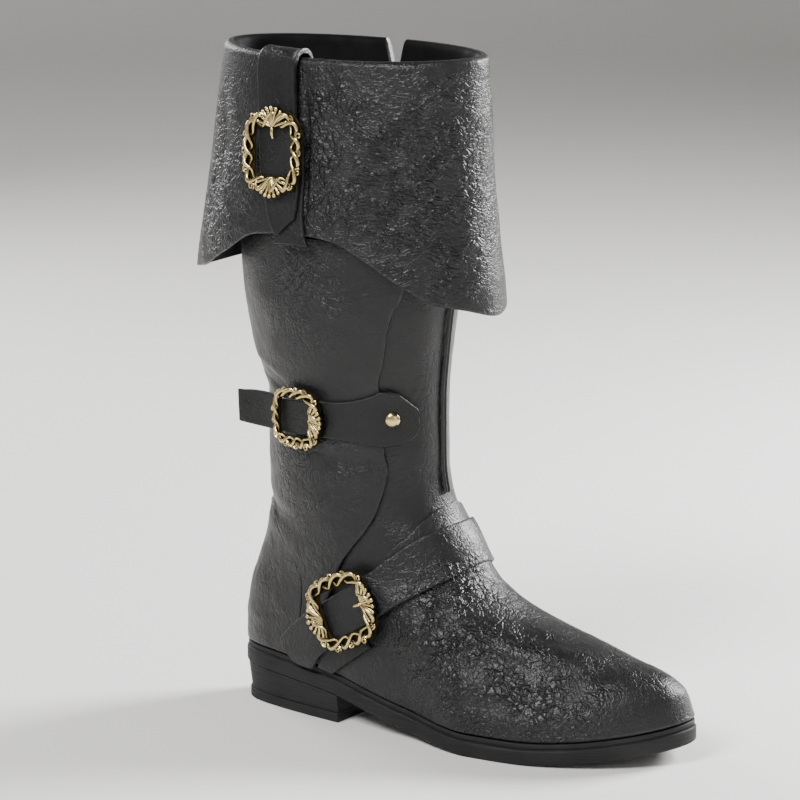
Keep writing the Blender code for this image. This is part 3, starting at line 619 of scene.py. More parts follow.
def rim_dip(turn):
    """How far the rim dips on the outer side of the leg."""
    return RIM_DIP * np.clip(np.sin(turn), 0, None) ** 2


def leg_surface(turn, level):
    """Point of the upper's outer face: an ellipse-like ring between its back and front ends."""
    turn, level = np.broadcast_arrays(np.asarray(turn, float), np.asarray(level, float))
    table = ring_table()
    rows = np.arange(len(table))
    back, front, rise_back, rise_front, follow, *widths = [
        through(rows, values, level) for values in table.T
    ]
    along = (1 - np.cos(turn)) / 2
    x = back + (front - back) * along
    half = through(station_turns(), np.array(widths), np.arccos(np.cos(turn)), flat_ends=True)
    y = middle_line(x, follow) - half * np.sin(turn)
    z = SEAT + follow * (feather(x) - SEAT) + rise_back + (rise_front - rise_back) * along
    z = z - rim_dip(turn) * np.clip(level - TOP_LEVEL + 2, 0, 2) / 2
    return np.stack([x, y, z], -1)


def hem_drop(turn):
    """How far the cuff's hem hangs below the collar at the given turns."""
    degrees = np.degrees(np.arccos(np.cos(turn)))
    return through(column(HEM, 0), column(HEM, 1, CUFF_DROP), degrees, flat_ends=True)


def cuff_surface(turn, row):
    """Point on the middle of the cuff's sheet.

    Rows from 0 to 1 run up the outside from the hem to the collar, from 1 to 2 over the collar in a
    half round, and from 2 to 3 down inside the shaft.
    """
    turn, row = np.broadcast_arrays(np.asarray(turn, float), np.asarray(row, float))
    fold = (WALL + CUFF_THICKNESS) / 2 + 2.5 * GAP
    roll = np.clip(row - 1, 0, 1) * math.pi
    reach = fold * np.cos(roll) - WALL / 2
    down = np.clip(1 - row, 0, None) * hem_drop(turn) - np.sin(roll) * fold
    down = down + np.clip(row - 2, 0, None) * CUFF_TUCK
    share = np.where(row < 1, np.clip(down, 0, None), 0) / CUFF_DROP
    stops = column(CUFF_ROWS, 0)
    past = np.clip(share - 1, 0, None)
    flare = (through(stops, column(CUFF_ROWS, 1), share) + past) * CUFF_FLARE
    spread = (through(stops, column(CUFF_ROWS, 2), share) + past) * CUFF_SPREAD
    shift = through(stops, column(CUFF_ROWS, 3), share) * CUFF_SHIFT
    inside = np.clip(row - 2, 0, None)
    shaft = ring_table()[-4:]
    rise = LEG - inside * CUFF_TUCK
    back = through(shaft[:, 2], shaft[:, 0], rise)
    front = through(shaft[:, 2], shaft[:, 1], rise)
    half_length = (front - back) / 2 + reach + flare - inside * TUCK_CLEARANCE
    half_width = through(shaft[:, 2], shaft[:, -1], rise) + reach + spread - inside * TUCK_CLEARANCE
    x = (back + front) / 2 - shift - half_length * np.cos(turn)
    y = middle_line(x, 0.0) - half_width * np.sin(turn)
    return np.stack([x, y, COLLAR - rim_dip(turn) - down], -1)


def round_turns(count):
    """Angles in even steps all the way round."""
    return np.arange(count) * 2 * math.pi / count


def notch_dip(turn):
    """Depth of the notch in the rim: a V on the inner side of the leg, at its place along the boot."""
    top = ring_table()[-1]
    x = top[0] + (top[1] - top[0]) * (1 - np.cos(turn)) / 2
    share = 1 - np.abs(x - NOTCH_PLACE * SOLE_LENGTH) / (NOTCH_WIDTH / 2)
    return np.where(np.sin(turn) < 0, np.clip(share, 0, 1), 0) * NOTCH_DEPTH


def lifted(surface, turn, level, lift):
    """Points at a height above a surface, along its outward normal."""
    step = 0.01
    around = surface(turn + step, level) - surface(turn - step, level)
    upward = surface(turn, level + step) - surface(turn, level - step)
    normal = np.cross(around, upward)
    normal /= np.linalg.norm(normal, axis=-1, keepdims=True)
    return surface(turn, level) + normal * np.asarray(lift, float)[..., None]


def frame_at(surface, turn, level, lift, angle):
    """A place on a surface: point, direction of the length, direction across it, outward normal."""
    step = 0.01
    point = lifted(surface, turn, level, lift)
    outward = lifted(surface, turn, level, lift + step) - point
    outward /= np.linalg.norm(outward)
    around = surface(turn + step, level) - surface(turn - step, level)
    around -= outward * (around @ outward)
    around /= np.linalg.norm(around)
    upward = np.cross(outward, around)
    length = around * math.cos(angle) + upward * math.sin(angle)
    return point, length, np.cross(outward, length), outward


def smoothed(rows, steps):
    """A table's columns on smooth curves through its rows, with the given steps between two rows."""
    number = np.arange(len(rows))
    at = np.linspace(0, len(rows) - 1, (len(rows) - 1) * steps + 1)
    return [through(number, values, at) for values in np.array(rows, float).T]


def edge_points(rows):
    """An edge seen from the side, in metres: x and z of places on a smooth curve through its rows."""
    x, z = smoothed(rows, EDGE_STEPS)
    return x * SOLE_LENGTH, z * LEG + SEAT


def crossing(values, stops, first):
    """Where each line of values rises through zero, between the stop before its first one above and that."""
    line = np.arange(len(values))
    before = np.maximum(first - 1, 0)
    low, high = values[line, before], values[line, first]
    share = np.clip(-low / np.where(high > low, high - low, 1), 0, 1) * (first > 0)
    return stops[before] + (stops[1] - stops[0]) * share


def edge_turn(levels, rows, limit=math.pi):
    """Turn at which each ring crosses an edge that is seen from the side, or the limit if it never does."""
    edge_x, edge_z = edge_points(rows)
    order = np.argsort(edge_z)
    turn = np.linspace(0, math.pi, 361)
    ring = leg_surface(turn[None, :], levels[:, None])
    ahead = ring[..., 0] - np.interp(ring[..., 2], edge_z[order], edge_x[order])
    found = crossing(ahead, turn, np.argmax(ahead > 0, axis=1))
    return np.where(np.any(ahead > 0, axis=1), found, limit)


def edge_level(turns, rows, top):
    """Level at which each turn of the leg rises through an edge that is seen from the side."""
    edge_x, edge_z = edge_points(rows)
    order = np.argsort(edge_x)
    levels = np.linspace(0, top, 281)
    line = leg_surface(turns[:, None], levels[None, :])
    above = line[..., 2] - np.interp(line[..., 0], edge_x[order], edge_z[order])
    return crossing(above, levels, np.clip(np.argmax(above > 0, axis=1), 1, None))


def end_level(turn, rows, top):
    """Level at which the back or the front of the leg passes out of an edge seen from the side."""
    edge_x, edge_z = edge_points(rows)
    order = np.argsort(edge_z)
    levels = np.linspace(0, top, 561)
    line = leg_surface(np.full(561, turn), levels)
    side = line[:, 0] - np.interp(line[:, 2], edge_z[order], edge_x[order])
    inside = side * (1 if turn > 1 else -1) > 0
    return levels[np.nonzero(inside)[0][-1]]


def place_seen(x, z):
    """Turn and level of the place on the leg's outer side at the given x and z, by Newton's steps."""
    step = 0.001
    turn = np.full(np.shape(x), math.pi / 2)
    level = np.full(np.shape(x), 3.0)
    for _ in range(24):
        here = leg_surface(turn, level)
        by_turn = (leg_surface(turn + step, level) - here) / step
        by_level = (leg_surface(turn, level + step) - here) / step
        miss_x, miss_z = x - here[..., 0], z - here[..., 2]
        scale = by_turn[..., 0] * by_level[..., 2] - by_level[..., 0] * by_turn[..., 2]
        turn = turn + np.clip((miss_x * by_level[..., 2] - miss_z * by_level[..., 0]) / scale, -0.2, 0.2)
        level = level + np.clip((miss_z * by_turn[..., 0] - miss_x * by_turn[..., 2]) / scale, -1, 1)
        level = np.clip(level, 0, TOP_LEVEL)
    return turn, level


def hashed(cells, seed):
    """A repeatable number from 0 to 1 for each whole-numbered cell, from the fraction of a large sine."""
    mixed = cells @ np.array([12.9898, 78.233, 37.719]) + seed * 4.1414
    return np.modf(np.abs(np.sin(mixed) * 43758.5453))[0]


def soft_noise(points, size, seed):
    """Smooth noise from -1 to 1: the numbers of the eight cells around each point, blended softly."""
    at = points / size
    low = np.floor(at)
    part = at - low
    part = part * part * (3 - 2 * part)
    total = np.zeros(points.shape[:-1])
    for corner in np.ndindex(2, 2, 2):
        weight = np.prod(np.where(corner, part, 1 - part), axis=-1)
        total += weight * hashed(low + np.array(corner), seed)
    return total * 2 - 1


def cell_edges(points, size, seed):
    """Distance from the lines of a net of cells: the second nearest seed's distance less the nearest's."""
    at = points / size
    low = np.floor(at)
    nearest = np.full(points.shape[:-1], 9.0)
    second = nearest.copy()
    for corner in np.ndindex(3, 3, 3):
        cell = low + np.array(corner) - 1
        place = cell + np.stack([hashed(cell, seed + k) for k in range(3)], -1)
        reach = np.linalg.norm(place - at, axis=-1)
        second = np.minimum(second, np.maximum(nearest, reach))
        nearest = np.minimum(nearest, reach)
    return second - nearest


def crinkle(points, size, seed):
    """Pillows between the lines of a warped net of cells: 0 on the lines, 1 between them."""
    warp = np.stack([soft_noise(points, size * 1.6, seed + 7 * k) for k in range(3)], -1)
    edge = cell_edges(points + warp * size * 0.45, size, seed)
    return 1 - np.exp(-((edge / 0.30) ** 2))


def creases(surface, turn, level, table):
    """Depth of the main creases: along each path a soft trough, with a lower ridge on both its sides."""
    points = surface(turn, level)
    total = np.zeros(points.shape[:-1])
    share = np.linspace(0, 1, 40)
    for start, middle, end, half_width, depth in table:
        stops = np.array([start, middle, end])
        path_turn = np.radians(through([0, 0.5, 1], stops[:, 0], share))
        path = surface(path_turn, through([0, 0.5, 1], stops[:, 1], share))
        away = np.linalg.norm(points[..., None, :] - path, axis=-1)
        nearest = np.argmin(away, axis=-1)
        reach = np.min(away, axis=-1) / half_width
        fade = np.sin(math.pi * np.clip(share[nearest], 0.02, 0.98)) ** 0.6
        total += depth * fade * (0.30 * np.exp(-((reach - 1.7) ** 2)) - np.exp(-(reach ** 2)))
    return total


def patches(surface, turn, level, table):
    """How much a leather shows of a feature: soft round patches about the table's places."""
    points = surface(turn, level)
    total = np.zeros(points.shape[:-1])
    for at_turn, at_level, radius, amount in table:
        middle = surface(math.radians(at_turn), at_level)
        away = np.linalg.norm(points - middle, axis=-1)
        total += amount * np.exp(-((away / radius) ** 2))
    return np.clip(total, 0, 1)


def grid_quads(rows, columns, closed_columns=False, closed_rows=False):
    """Quads of a grid, facing out where its rows run up and its columns run round by the outer side."""
    index = np.arange(rows * columns).reshape(rows, columns)
    if closed_columns:
        index = np.concatenate([index, index[:, :1]], axis=1)
    if closed_rows:
        index = np.concatenate([index, index[:1]], axis=0)
    corners = index[:-1, :-1], index[:-1, 1:], index[1:, 1:], index[1:, :-1]
    return np.stack(corners, -1).reshape(-1, 4)


def sheet_faces(rows, columns):
    """Faces of a closed sheet: its face, its underside and the strip round its edge."""
    count = rows * columns
    face = grid_quads(rows, columns)
    index = np.arange(count).reshape(rows, columns)
    rim = np.concatenate([index[0, :-1], index[:-1, -1], index[-1, :0:-1], index[:0:-1, 0]])
    ahead = np.roll(rim, -1)
    edge = np.stack([rim, rim + count, ahead + count, ahead], -1)
    return np.concatenate([face, face[:, ::-1] + count, edge]).tolist()


def edge_distance(points):
    """Distance of each point of a grid from the grid's nearest border, measured along its lines."""
    across = np.linalg.norm(np.diff(points, axis=1), axis=-1).cumsum(axis=1)
    across = np.pad(across, ((0, 0), (1, 0)))
    along = np.linalg.norm(np.diff(points, axis=0), axis=-1).cumsum(axis=0)
    along = np.pad(along, ((1, 0), (0, 0)))
    sides = [across, across[:, -1:] - across, along, along[-1:] - along]
    return np.min(sides, axis=0)


def edge_shares(count, width):
    """Shares from 0 to 1 for a grid's lines, with three more lines in the rounded edge at each end."""
    edge = min(EDGE_ROUND / width, 0.2)
    first = np.array([0.0, 0.15, 0.5]) * edge
    return np.concatenate([first, np.linspace(edge, 1 - edge, count), 1 - first[::-1]])


def rounded_edge(distance, radius):
    """Quarter round: 0 on the border, 1 from the radius inward."""
    return np.sqrt(1 - (1 - np.clip(distance / radius, 0, 1)) ** 2)


def add_piece(name, points, faces, finish, nodes, attributes=None, more_finish=None, more_faces=None):
    """A finished piece on the boot: its mesh, finish, attributes, body and the nodes it stands for."""
    mesh = bpy.data.meshes.new(name)
    placed = np.asarray(points).reshape(-1, 3) - np.array([HEEL_LENGTH / 2, 0, 0])
    mesh.from_pydata(placed.tolist(), [], list(faces))
    mesh.materials.append(finish)
    if more_finish:
        mesh.materials.append(more_finish)
        mesh.polygons.foreach_set("material_index", np.asarray(more_faces, np.int32))
    for key, values in (attributes or {}).items():
        layer = mesh.attributes.new(key, "FLOAT", "POINT")
        layer.data.foreach_set("value", np.asarray(values, np.float32).ravel())
    mesh.shade_smooth()
    mesh.set_sharp_from_angle(angle=math.radians(SHARP_ANGLE))
    piece = bpy.data.objects.new(name, mesh)
    bpy.context.scene.collection.objects.link(piece)
    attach(piece, "root")
    if nodes:
        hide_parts(*nodes)
    return piece


def add_sheet(name, surface, turn, level, lift, thickness, finish, nodes, relief=0.0, tag=None):
    """A closed sheet of leather laid on a surface, with a rounded edge and relief on its face."""
    flat = surface(turn, level)
    away = edge_distance(flat)
    height = thickness * (0.25 + 0.75 * rounded_edge(away, EDGE_ROUND))
    face = lifted(surface, turn, level, lift + height + relief)
    under = lifted(surface, turn, level, lift + turn * 0)
    tags = {"edge": np.exp(-away / EDGE_WEAR)}
    tags.update(tag or {})
    tags = {key: np.concatenate([np.ravel(value), np.ravel(value)]) for key, value in tags.items()}
    points = np.concatenate([face.reshape(-1, 3), under.reshape(-1, 3)])
    return add_piece(name, points, sheet_faces(*turn.shape), finish, nodes, tags)


def add_node(tree, kind, inputs, **settings):
    """A node with its settings, and its inputs given as values or as the outputs of other nodes."""
    node = tree.nodes.new(kind)
    for key, value in settings.items():
        setattr(node, key, value)
    for key, value in inputs.items():
        if isinstance(value, bpy.types.NodeSocket):
            tree.links.new(value, node.inputs[key])
        else:
            node.inputs[key].default_value = value
    return node


def new_finish(name, **sockets):
    """A material with values set on its shader: the material, its node tree and the shader."""
    finish = bpy.data.materials.new(name)
    finish.use_nodes = True
    shader = finish.node_tree.nodes["Principled BSDF"]
    for key, value in sockets.items():
        shader.inputs[key.replace("_", " ")].default_value = value
    return finish, finish.node_tree, shader


def noise(tree, place, scale, detail=2.0, roughness=0.5):
    """Noise at a scale in cells to the metre: the output from 0 to 1."""
    inputs = {"Vector": place, "Scale": scale, "Detail": detail, "Roughness": roughness}
    return add_node(tree, "ShaderNodeTexNoise", inputs).outputs["Fac"]


def ramp(tree, value, low, high, to_low=0.0, to_high=1.0):
    """A value's range spread softly over another range."""
    inputs = {"Value": value, "From Min": low, "From Max": high, "To Min": to_low, "To Max": to_high}
    return add_node(tree, "ShaderNodeMapRange", inputs, interpolation_type="SMOOTHSTEP").outputs["Result"]


def combine(tree, operation, one, other):
    """Two values added, multiplied or compared."""
    return add_node(tree, "ShaderNodeMath", {0: one, 1: other}, operation=operation).outputs[0]


def combine_vectors(tree, operation, one, other):
    """Two vectors added, subtracted or multiplied."""
    return add_node(tree, "ShaderNodeVectorMath", {0: one, 1: other}, operation=operation).outputs[0]


def object_place(tree):
    """The place in the piece's own coordinates."""
    return add_node(tree, "ShaderNodeTexCoord", {}).outputs["Object"]


def attribute(tree, name):
    """An attribute of the mesh."""
    return add_node(tree, "ShaderNodeAttribute", {}, attribute_name=name).outputs["Fac"]


def mixed_color(tree, share, one, other):
    """A colour between two, by a share."""
    return add_node(tree, "ShaderNodeMix", {0: share, 6: one, 7: other}, data_type="RGBA").outputs[2]


def bump(tree, height, distance, strength, before=None):
    """A normal raised by a height, on top of another one."""
    inputs = {"Height": height, "Distance": distance, "Strength": strength}
    if before:
        inputs["Normal"] = before
    return add_node(tree, "ShaderNodeBump", inputs).outputs["Normal"]


def shades(color, *factors):
    """A colour made darker or lighter by each factor, with full opacity."""
    return [tuple(min(part * factor, 1.0) for part in color[:3]) + (1.0,) for factor in factors]


def leather_finish(name, look, crinkled=1.0, shade=1.0, gloss=1.0):
    """Coated leather: warped cells of wrinkles, round or drawn out, over a fine grain."""
    finish, tree, shader = new_finish(
        name, Coat_Weight=look.coat * gloss, Coat_Roughness=0.22, Specular_IOR_Level=0.30
    )
    place = object_place(tree)
    warp = add_node(tree, "ShaderNodeTexNoise", {"Vector": place, "Scale": 95.0, "Detail": 3.0})
    shift = combine_vectors(tree, "SUBTRACT", warp.outputs["Color"], (0.5, 0.5, 0.5))
    shift = combine_vectors(tree, "MULTIPLY", shift, (0.0085, 0.0085, 0.0085))
    warped = combine_vectors(tree, "ADD", place, shift)
    drawn = combine_vectors(tree, "MULTIPLY", warped, (0.62, 0.62, 1.75))

    def net(vector, scale, edge):
        inputs = {"Vector": vector, "Scale": scale}
        cells = add_node(tree, "ShaderNodeTexVoronoi", inputs, feature="DISTANCE_TO_EDGE")
        return ramp(tree, cells.outputs["Distance"], 0.0, edge)

    def pillows(vector):
        large = net(vector, 0.45 / look.wrinkle_size, 0.10)
        return combine(tree, "ADD", net(vector, 1 / look.wrinkle_size, 0.16),
                       combine(tree, "MULTIPLY", large, 0.9))

    round_cells = pillows(warped)
    long_cells = pillows(drawn)
    strength = attribute(tree, "wrinkled")
    stretch = attribute(tree, "drawn")
    edge = attribute(tree, "edge")
    cells = add_node(
        tree, "ShaderNodeMix", {0: stretch, 2: round_cells, 3: long_cells}, data_type="FLOAT"
    ).outputs[0]
    broken = ramp(tree, noise(tree, place, 70.0, 3.0), 0.36, 0.62, 0.25, 1.0)
    amount = combine(tree, "MULTIPLY", strength, broken)
    height = combine(tree, "MULTIPLY", cells, amount)
    normal = bump(tree, height, look.wrinkle_depth * crinkled, 1.0)
    pores = add_node(tree, "ShaderNodeTexVoronoi", {"Vector": place, "Scale": 1 / look.grain_size})
    fine = combine(tree, "ADD", pores.outputs["Distance"], noise(tree, place, 1600.0, 2.0, 0.6))
    normal = bump(tree, fine, look.grain_depth, 0.8, normal)
    tree.links.new(normal, shader.inputs["Normal"])
    tree.links.new(normal, shader.inputs["Coat Normal"])

    dark, plain, pale, worn = shades(look.color, 0.62 * shade, shade, 1.45 * shade, 4.2 * shade)
    clouds = ramp(tree, noise(tree, place, 16.0, 4.0, 0.6), 0.30, 0.70)
    color = mixed_color(tree, clouds, dark, plain)
    # Tops of the wrinkle cells painted paler by the wrinkle amount, most in the patches of the wrinkle
    # tables: partly wear on the raised leather, partly painted highlight where light catches the ridges
    ridges = combine(tree, "MULTIPLY", ramp(tree, round_cells, 0.9, 1.8), amount)
    color = mixed_color(tree, combine(tree, "MULTIPLY", ridges, 0.7), color, pale)
    # Lighter by the edge attribute: wear along the sheets' edges and the cuff's hem, and painted highlight
    # along the fold over the cuff's collar
    worn_patches = ramp(tree, noise(tree, place, 220.0, 2.0), 0.30, 0.62, 0.15, 0.75)
    edge_wear_and_rim_highlight = combine(tree, "MULTIPLY", edge, worn_patches)
    color = mixed_color(tree, edge_wear_and_rim_highlight, color, worn)
    tree.links.new(color, shader.inputs["Base Color"])
    low, high = look.roughness - 0.07, look.roughness + 0.09
    rough = ramp(tree, noise(tree, place, 42.0, 3.0), 0.30, 0.70, low, high)
    rough = combine(tree, "SUBTRACT", rough, combine(tree, "MULTIPLY", amount, 0.10))
    tree.links.new(rough, shader.inputs["Roughness"])
    return finish


def lining_finish(look):
    """Matt black lining with a faint weave."""
    finish, tree, shader = new_finish("black_lining", Specular_IOR_Level=0.12)
    place = object_place(tree)
    wave = add_node(
        tree, "ShaderNodeTexWave", {"Vector": place, "Scale": 420.0, "Distortion": 1.5}, bands_direction="Z"
    ).outputs["Fac"]
    normal = bump(tree, combine(tree, "ADD", wave, noise(tree, place, 900.0)), 0.0001, 0.6)
    tree.links.new(normal, shader.inputs["Normal"])
    deep, plain = shades(look.lining_color, 0.6, 1.3)
    color = mixed_color(tree, noise(tree, place, 60.0, 3.0), deep, plain)
    tree.links.new(color, shader.inputs["Base Color"])
    tree.links.new(ramp(tree, noise(tree, place, 90.0), 0.3, 0.7, 0.62, 0.80), shader.inputs["Roughness"])
    return finish


def sole_finish(name, look, lined):
    """Moulded sole rubber, dusty grey, with faint lines along its side."""
    finish, tree, shader = new_finish(name, Specular_IOR_Level=0.22)
    place = object_place(tree)
    speck = noise(tree, place, 1300.0, 2.0, 0.7)
    streak = combine_vectors(tree, "MULTIPLY", place, (40.0, 40.0, lined))
    lines = noise(tree, streak, 1.0, 3.0, 0.6)
    normal = bump(tree, lines, 0.0005, 0.5)
    normal = bump(tree, speck, 0.00012, 0.6, normal)
    tree.links.new(normal, shader.inputs["Normal"])
    dark, pale = shades(look.color, 0.75, 1.35)
    cloud = combine(tree, "ADD", combine(tree, "MULTIPLY", lines, 0.6),
                    combine(tree, "MULTIPLY", noise(tree, place, 35.0, 3.0), 0.5))
    color = mixed_color(tree, ramp(tree, cloud, 0.35, 0.80), dark, pale)
    tree.links.new(color, shader.inputs["Base Color"])
    tree.links.new(ramp(tree, cloud, 0.3, 0.8, look.roughness + 0.08, look.roughness - 0.08),
                   shader.inputs["Roughness"])
    return finish


def brass_finish(look):
    """Antique brass: bright on the tops of the relief, dark and dull in its hollows, which is patina, and on
    the sides that turn away from the buckle's face, which is painted shade.
    """
    finish, tree, shader = new_finish("antique_brass", Metallic=1.0)
    place = object_place(tree)
    relief = attribute(tree, "relief")
    cloud = noise(tree, place, 700.0, 3.0)
    tarnish = combine(tree, "MULTIPLY", combine(tree, "SUBTRACT", cloud, 0.5), 0.5)
    height = combine(tree, "ADD", relief, tarnish)
    share = ramp(tree, height, 0.28, 0.85)
    # Dark colour: patina in the hollows and painted shade on the sides that face away
    hollow = tuple(look.patina_and_side_shade_color) + (1.0,)
    bright = tuple(look.color) + (1.0,)
    tree.links.new(mixed_color(tree, share, hollow, bright), shader.inputs["Base Color"])
    tree.links.new(ramp(tree, height, 0.2, 0.8, 0.62, look.roughness), shader.inputs["Roughness"])
    tree.links.new(bump(tree, noise(tree, place, 2200.0), 0.00008, 0.5), shader.inputs["Normal"])
    return finish


def detail(surface, turn, level, name):
    """Relief of worn leather: long soft waves and, between them, a net of shallow wrinkles."""
    wave, wave_size, seed, fine = RELIEF[name]
    points = surface(turn, level)
    relief = wave * soft_noise(points, wave_size, seed)
    relief = relief + wave * 0.45 * soft_noise(points, wave_size * 0.45, seed + 31)
    if fine:
        relief = relief + fine * (crinkle(points, NET_WIDTH, seed + 57) - 1)
    return relief


def leather_tags(surface, turn, level, wrinkled, drawn):
    """Attributes of a leather: how wrinkled it is, and how far its wrinkles are drawn out sideways."""
    return {
        "wrinkled": np.clip(LEATHER_WRINKLED + patches(surface, turn, level, wrinkled), 0, 1),
        "drawn": patches(surface, turn, level, drawn),
    }


def add_upper(look, finishes):
    """The hollow foot and shaft: a face with creases, and a lining one wall inside it."""
    turns = round_turns(LEG_COLUMNS)
    levels = np.linspace(0, TOP_LEVEL, LEG_ROWS)
    turn, level = np.meshgrid(turns, levels)
    relief = detail(leg_surface, turn, level, "upper_leather") - UNDER_PANELS
    relief = relief + creases(leg_surface, turn, level, LEG_CREASES) * look.crease_share * 0.8
    bare = np.clip((level - 14) / 3, 0, 1)
    relief = np.where(relief > 0, relief * bare, relief)
    face = lifted(leg_surface, turn, level, relief)
    in_turn, in_level = np.meshgrid(turns, np.linspace(TOP_LEVEL, 0, LINING_ROWS))
    lining = lifted(leg_surface, in_turn, in_level, -WALL + in_turn * 0)
    face[..., 2] -= notch_dip(turn) * np.clip(level - TOP_LEVEL + 1, 0, 1)
    lining[..., 2] -= notch_dip(in_turn) * np.clip(in_level - TOP_LEVEL + 1, 0, 1)
    points = np.concatenate([face, lining])
    faces = grid_quads(len(points), len(turns), closed_columns=True, closed_rows=True).tolist()
    inner = np.repeat(np.arange(len(points)) >= len(levels) - 1, len(turns))
    tags = leather_tags(leg_surface, turn, level, LEG_WRINKLES, ())
    tags = {key: np.concatenate([value, np.zeros(in_turn.shape)]) for key, value in tags.items()}
    add_piece("upper_leather", points, faces, finishes["leather"], ["upper"], tags,
              finishes["lining"], inner)


def add_panels(look, finishes):
    """The vamp, the heel counter and the two halves of the side panel, laid on the upper."""

    def panel(name, nodes, levels, start, end, columns):
        start, end = start[:, None], end[:, None]
        chord = leg_surface(end[:, 0], levels) - leg_surface(start[:, 0], levels)
        width = np.linalg.norm(chord, axis=-1).max()
        share = edge_shares(columns, max(width, 0.05) * 1.3)
        turn = start + (end - start) * share[None, :]
        level = np.repeat(levels[:, None], len(share), axis=1)
        relief = detail(leg_surface, turn, level, name)
        relief = relief + creases(leg_surface, turn, level, LEG_CREASES) * look.crease_share
        relief = relief * np.clip(edge_distance(leg_surface(turn, level)) / PANEL_FADE, 0.1, 1)
        tags = leather_tags(leg_surface, turn, level, LEG_WRINKLES, ())
        add_sheet(name, leg_surface, turn, level, PANEL_LIFT, OVERLAY, finishes["leather"], nodes,
                  relief, tags)

    top = end_level(math.pi, VAMP_EDGE, EDGE_TOP)
    levels = 0.08 + (top - 0.10) * edge_shares(104, 0.16)
    start = edge_turn(levels, VAMP_EDGE)
    panel("vamp_leather", ["vamp"], levels, start, 2 * math.pi - start, 150)
    top = end_level(0.0, COUNTER_EDGE, COUNTER_TOP)
    levels = 0.08 + (top - 0.10) * edge_shares(70, 0.09)
    start = edge_turn(levels, COUNTER_EDGE)
    panel("counter_leather", ["heel_counter"], levels, -start, start, 90)
    levels = 0.1 + (SIDE_TOP - 0.1) * edge_shares(170, 0.3)
    seam = SEAM_GAP / SOLE_WIDTH
    back = np.where(levels < top, edge_turn(levels, COUNTER_EDGE, 0.0), 0.0) + seam
    front = edge_turn(levels, SIDE_EDGE)
    panel("side_leather_outer", ["side_panel"], levels, back, front, 96)
    panel("side_leather_inner", [], levels, 2 * math.pi - front, 2 * math.pi - back, 96)


def add_front_seam(finishes):
    """The raised seam down the front of the shaft: two ridges beside a groove."""
    low, high = FRONT_SEAM
    levels = np.linspace(low, high, 110)
    across = np.linspace(-1, 1, 21)
    half_width = (leg_surface(-math.pi / 2, levels)[:, 1] - leg_surface(math.pi / 2, levels)[:, 1]) / 2
    turn = math.pi + (SEAM_WIDTH / 2 / half_width)[:, None] * across
    level = np.repeat(levels[:, None], len(across), axis=1)
    ridge = np.exp(-(((np.abs(across) - 0.52) / 0.26) ** 2)) - 0.75 * np.exp(-((across / 0.16) ** 2))
    relief = SEAM_HEIGHT * 0.45 * ridge[None, :] + turn * 0
    add_sheet("front_seam_leather", leg_surface, turn, level, PANEL_LIFT, SEAM_HEIGHT * 0.7,
              finishes["strap"], ["front_seam"], relief,
              leather_tags(leg_surface, turn, level, LEG_WRINKLES, ()))


def add_cuff(look, finishes):
    """The turned-down cuff: up the outside from its rounded hem, over the collar and down inside."""
    half = CUFF_THICKNESS / 2
    # path round the sheet's section: row, and side from 1 on its face to -1 on its lining
    path = [(-0.004, 0.0), (-0.003, 0.6)]
    path += [(row, 1.0) for row in np.linspace(0, 1, 100)]
    path += [(row, 1.0) for row in np.linspace(1, 2, 11)[1:]]
    path += [(row, 1.0) for row in np.linspace(2, 3, 8)[1:]]
    path += [(row, -1.0) for row in np.linspace(3, 2, 6)]
    path += [(row, -1.0) for row in np.linspace(2, 1, 9)[1:]]
    path += [(row, -1.0) for row in np.linspace(1, 0, 26)[1:]]
    path += [(-0.003, -0.6)]
    row_of, side_of = np.array(path).T
    turns = round_turns(CUFF_COLUMNS)
    turn, row = np.meshgrid(turns, row_of)
    side = np.repeat(side_of[:, None], len(turns), axis=1)
    free = np.clip(1.15 - row, 0, 1) ** 0.5
    relief = detail(cuff_surface, turn, row, "cuff_leather") * free
    relief = relief + creases(cuff_surface, turn, row, CUFF_CREASES) * look.crease_share
    tags = leather_tags(cuff_surface, turn, np.clip(row, 0, 3), CUFF_WRINKLES, CUFF_DRAWN)
    seed, width, depth = CUFF_NET
    fine = depth * (crinkle(cuff_surface(turn, row), width, seed) - 1) * tags["wrinkled"]
    middle, flat = FLAT_UNDER_STRAP
    under_strap = np.exp(-(((np.degrees(turn) - middle) / flat) ** 4)) * (row < 1.1)
    relief = np.where(under_strap > 0.5, np.minimum(relief, 0), relief)
    face = lifted(cuff_surface, turn, row, side * half + relief + np.where(side > 0, fine, 0))
    weight = np.clip((row - 0.6) / 0.4, 0, 1)
    face[..., 2] -= notch_dip(turn) * weight
    faces = grid_quads(len(path), len(turns), closed_columns=True, closed_rows=True).tolist()
    lined = np.repeat((side_of < 0) & (row_of < 1.5) | (row_of > 1.55), len(turns))
    hem = np.clip(row, 0, None) * 0.12
    tags["edge"] = np.where((side > -0.9) & (row < 1), np.exp(-hem / EDGE_WEAR), 0)
    # Painted highlight: a pale band along the fold over the collar, added to the edge attribute that also
    # carries the hem's wear
    rim = np.exp(-(((row - 1.45) / 0.30) ** 2)) * (side > 0)
    tags["edge"] = np.maximum(tags["edge"], rim * 0.55)
    add_piece("cuff_leather", face, faces, finishes["leather"], ["cuff"], tags,
              finishes["lining"], lined)


def band(rows, steps, across):
    """Grid of a band from rows of back and front edges: turn and level of its places, and its stand."""
    low_turn, low_level, high_turn, high_level, stand = [
        values[:, None] for values in smoothed(rows, steps)
    ]
    turn = np.radians(low_turn + (high_turn - low_turn) * across)
    return turn, low_level + (high_level - low_level) * across, stand + turn * 0


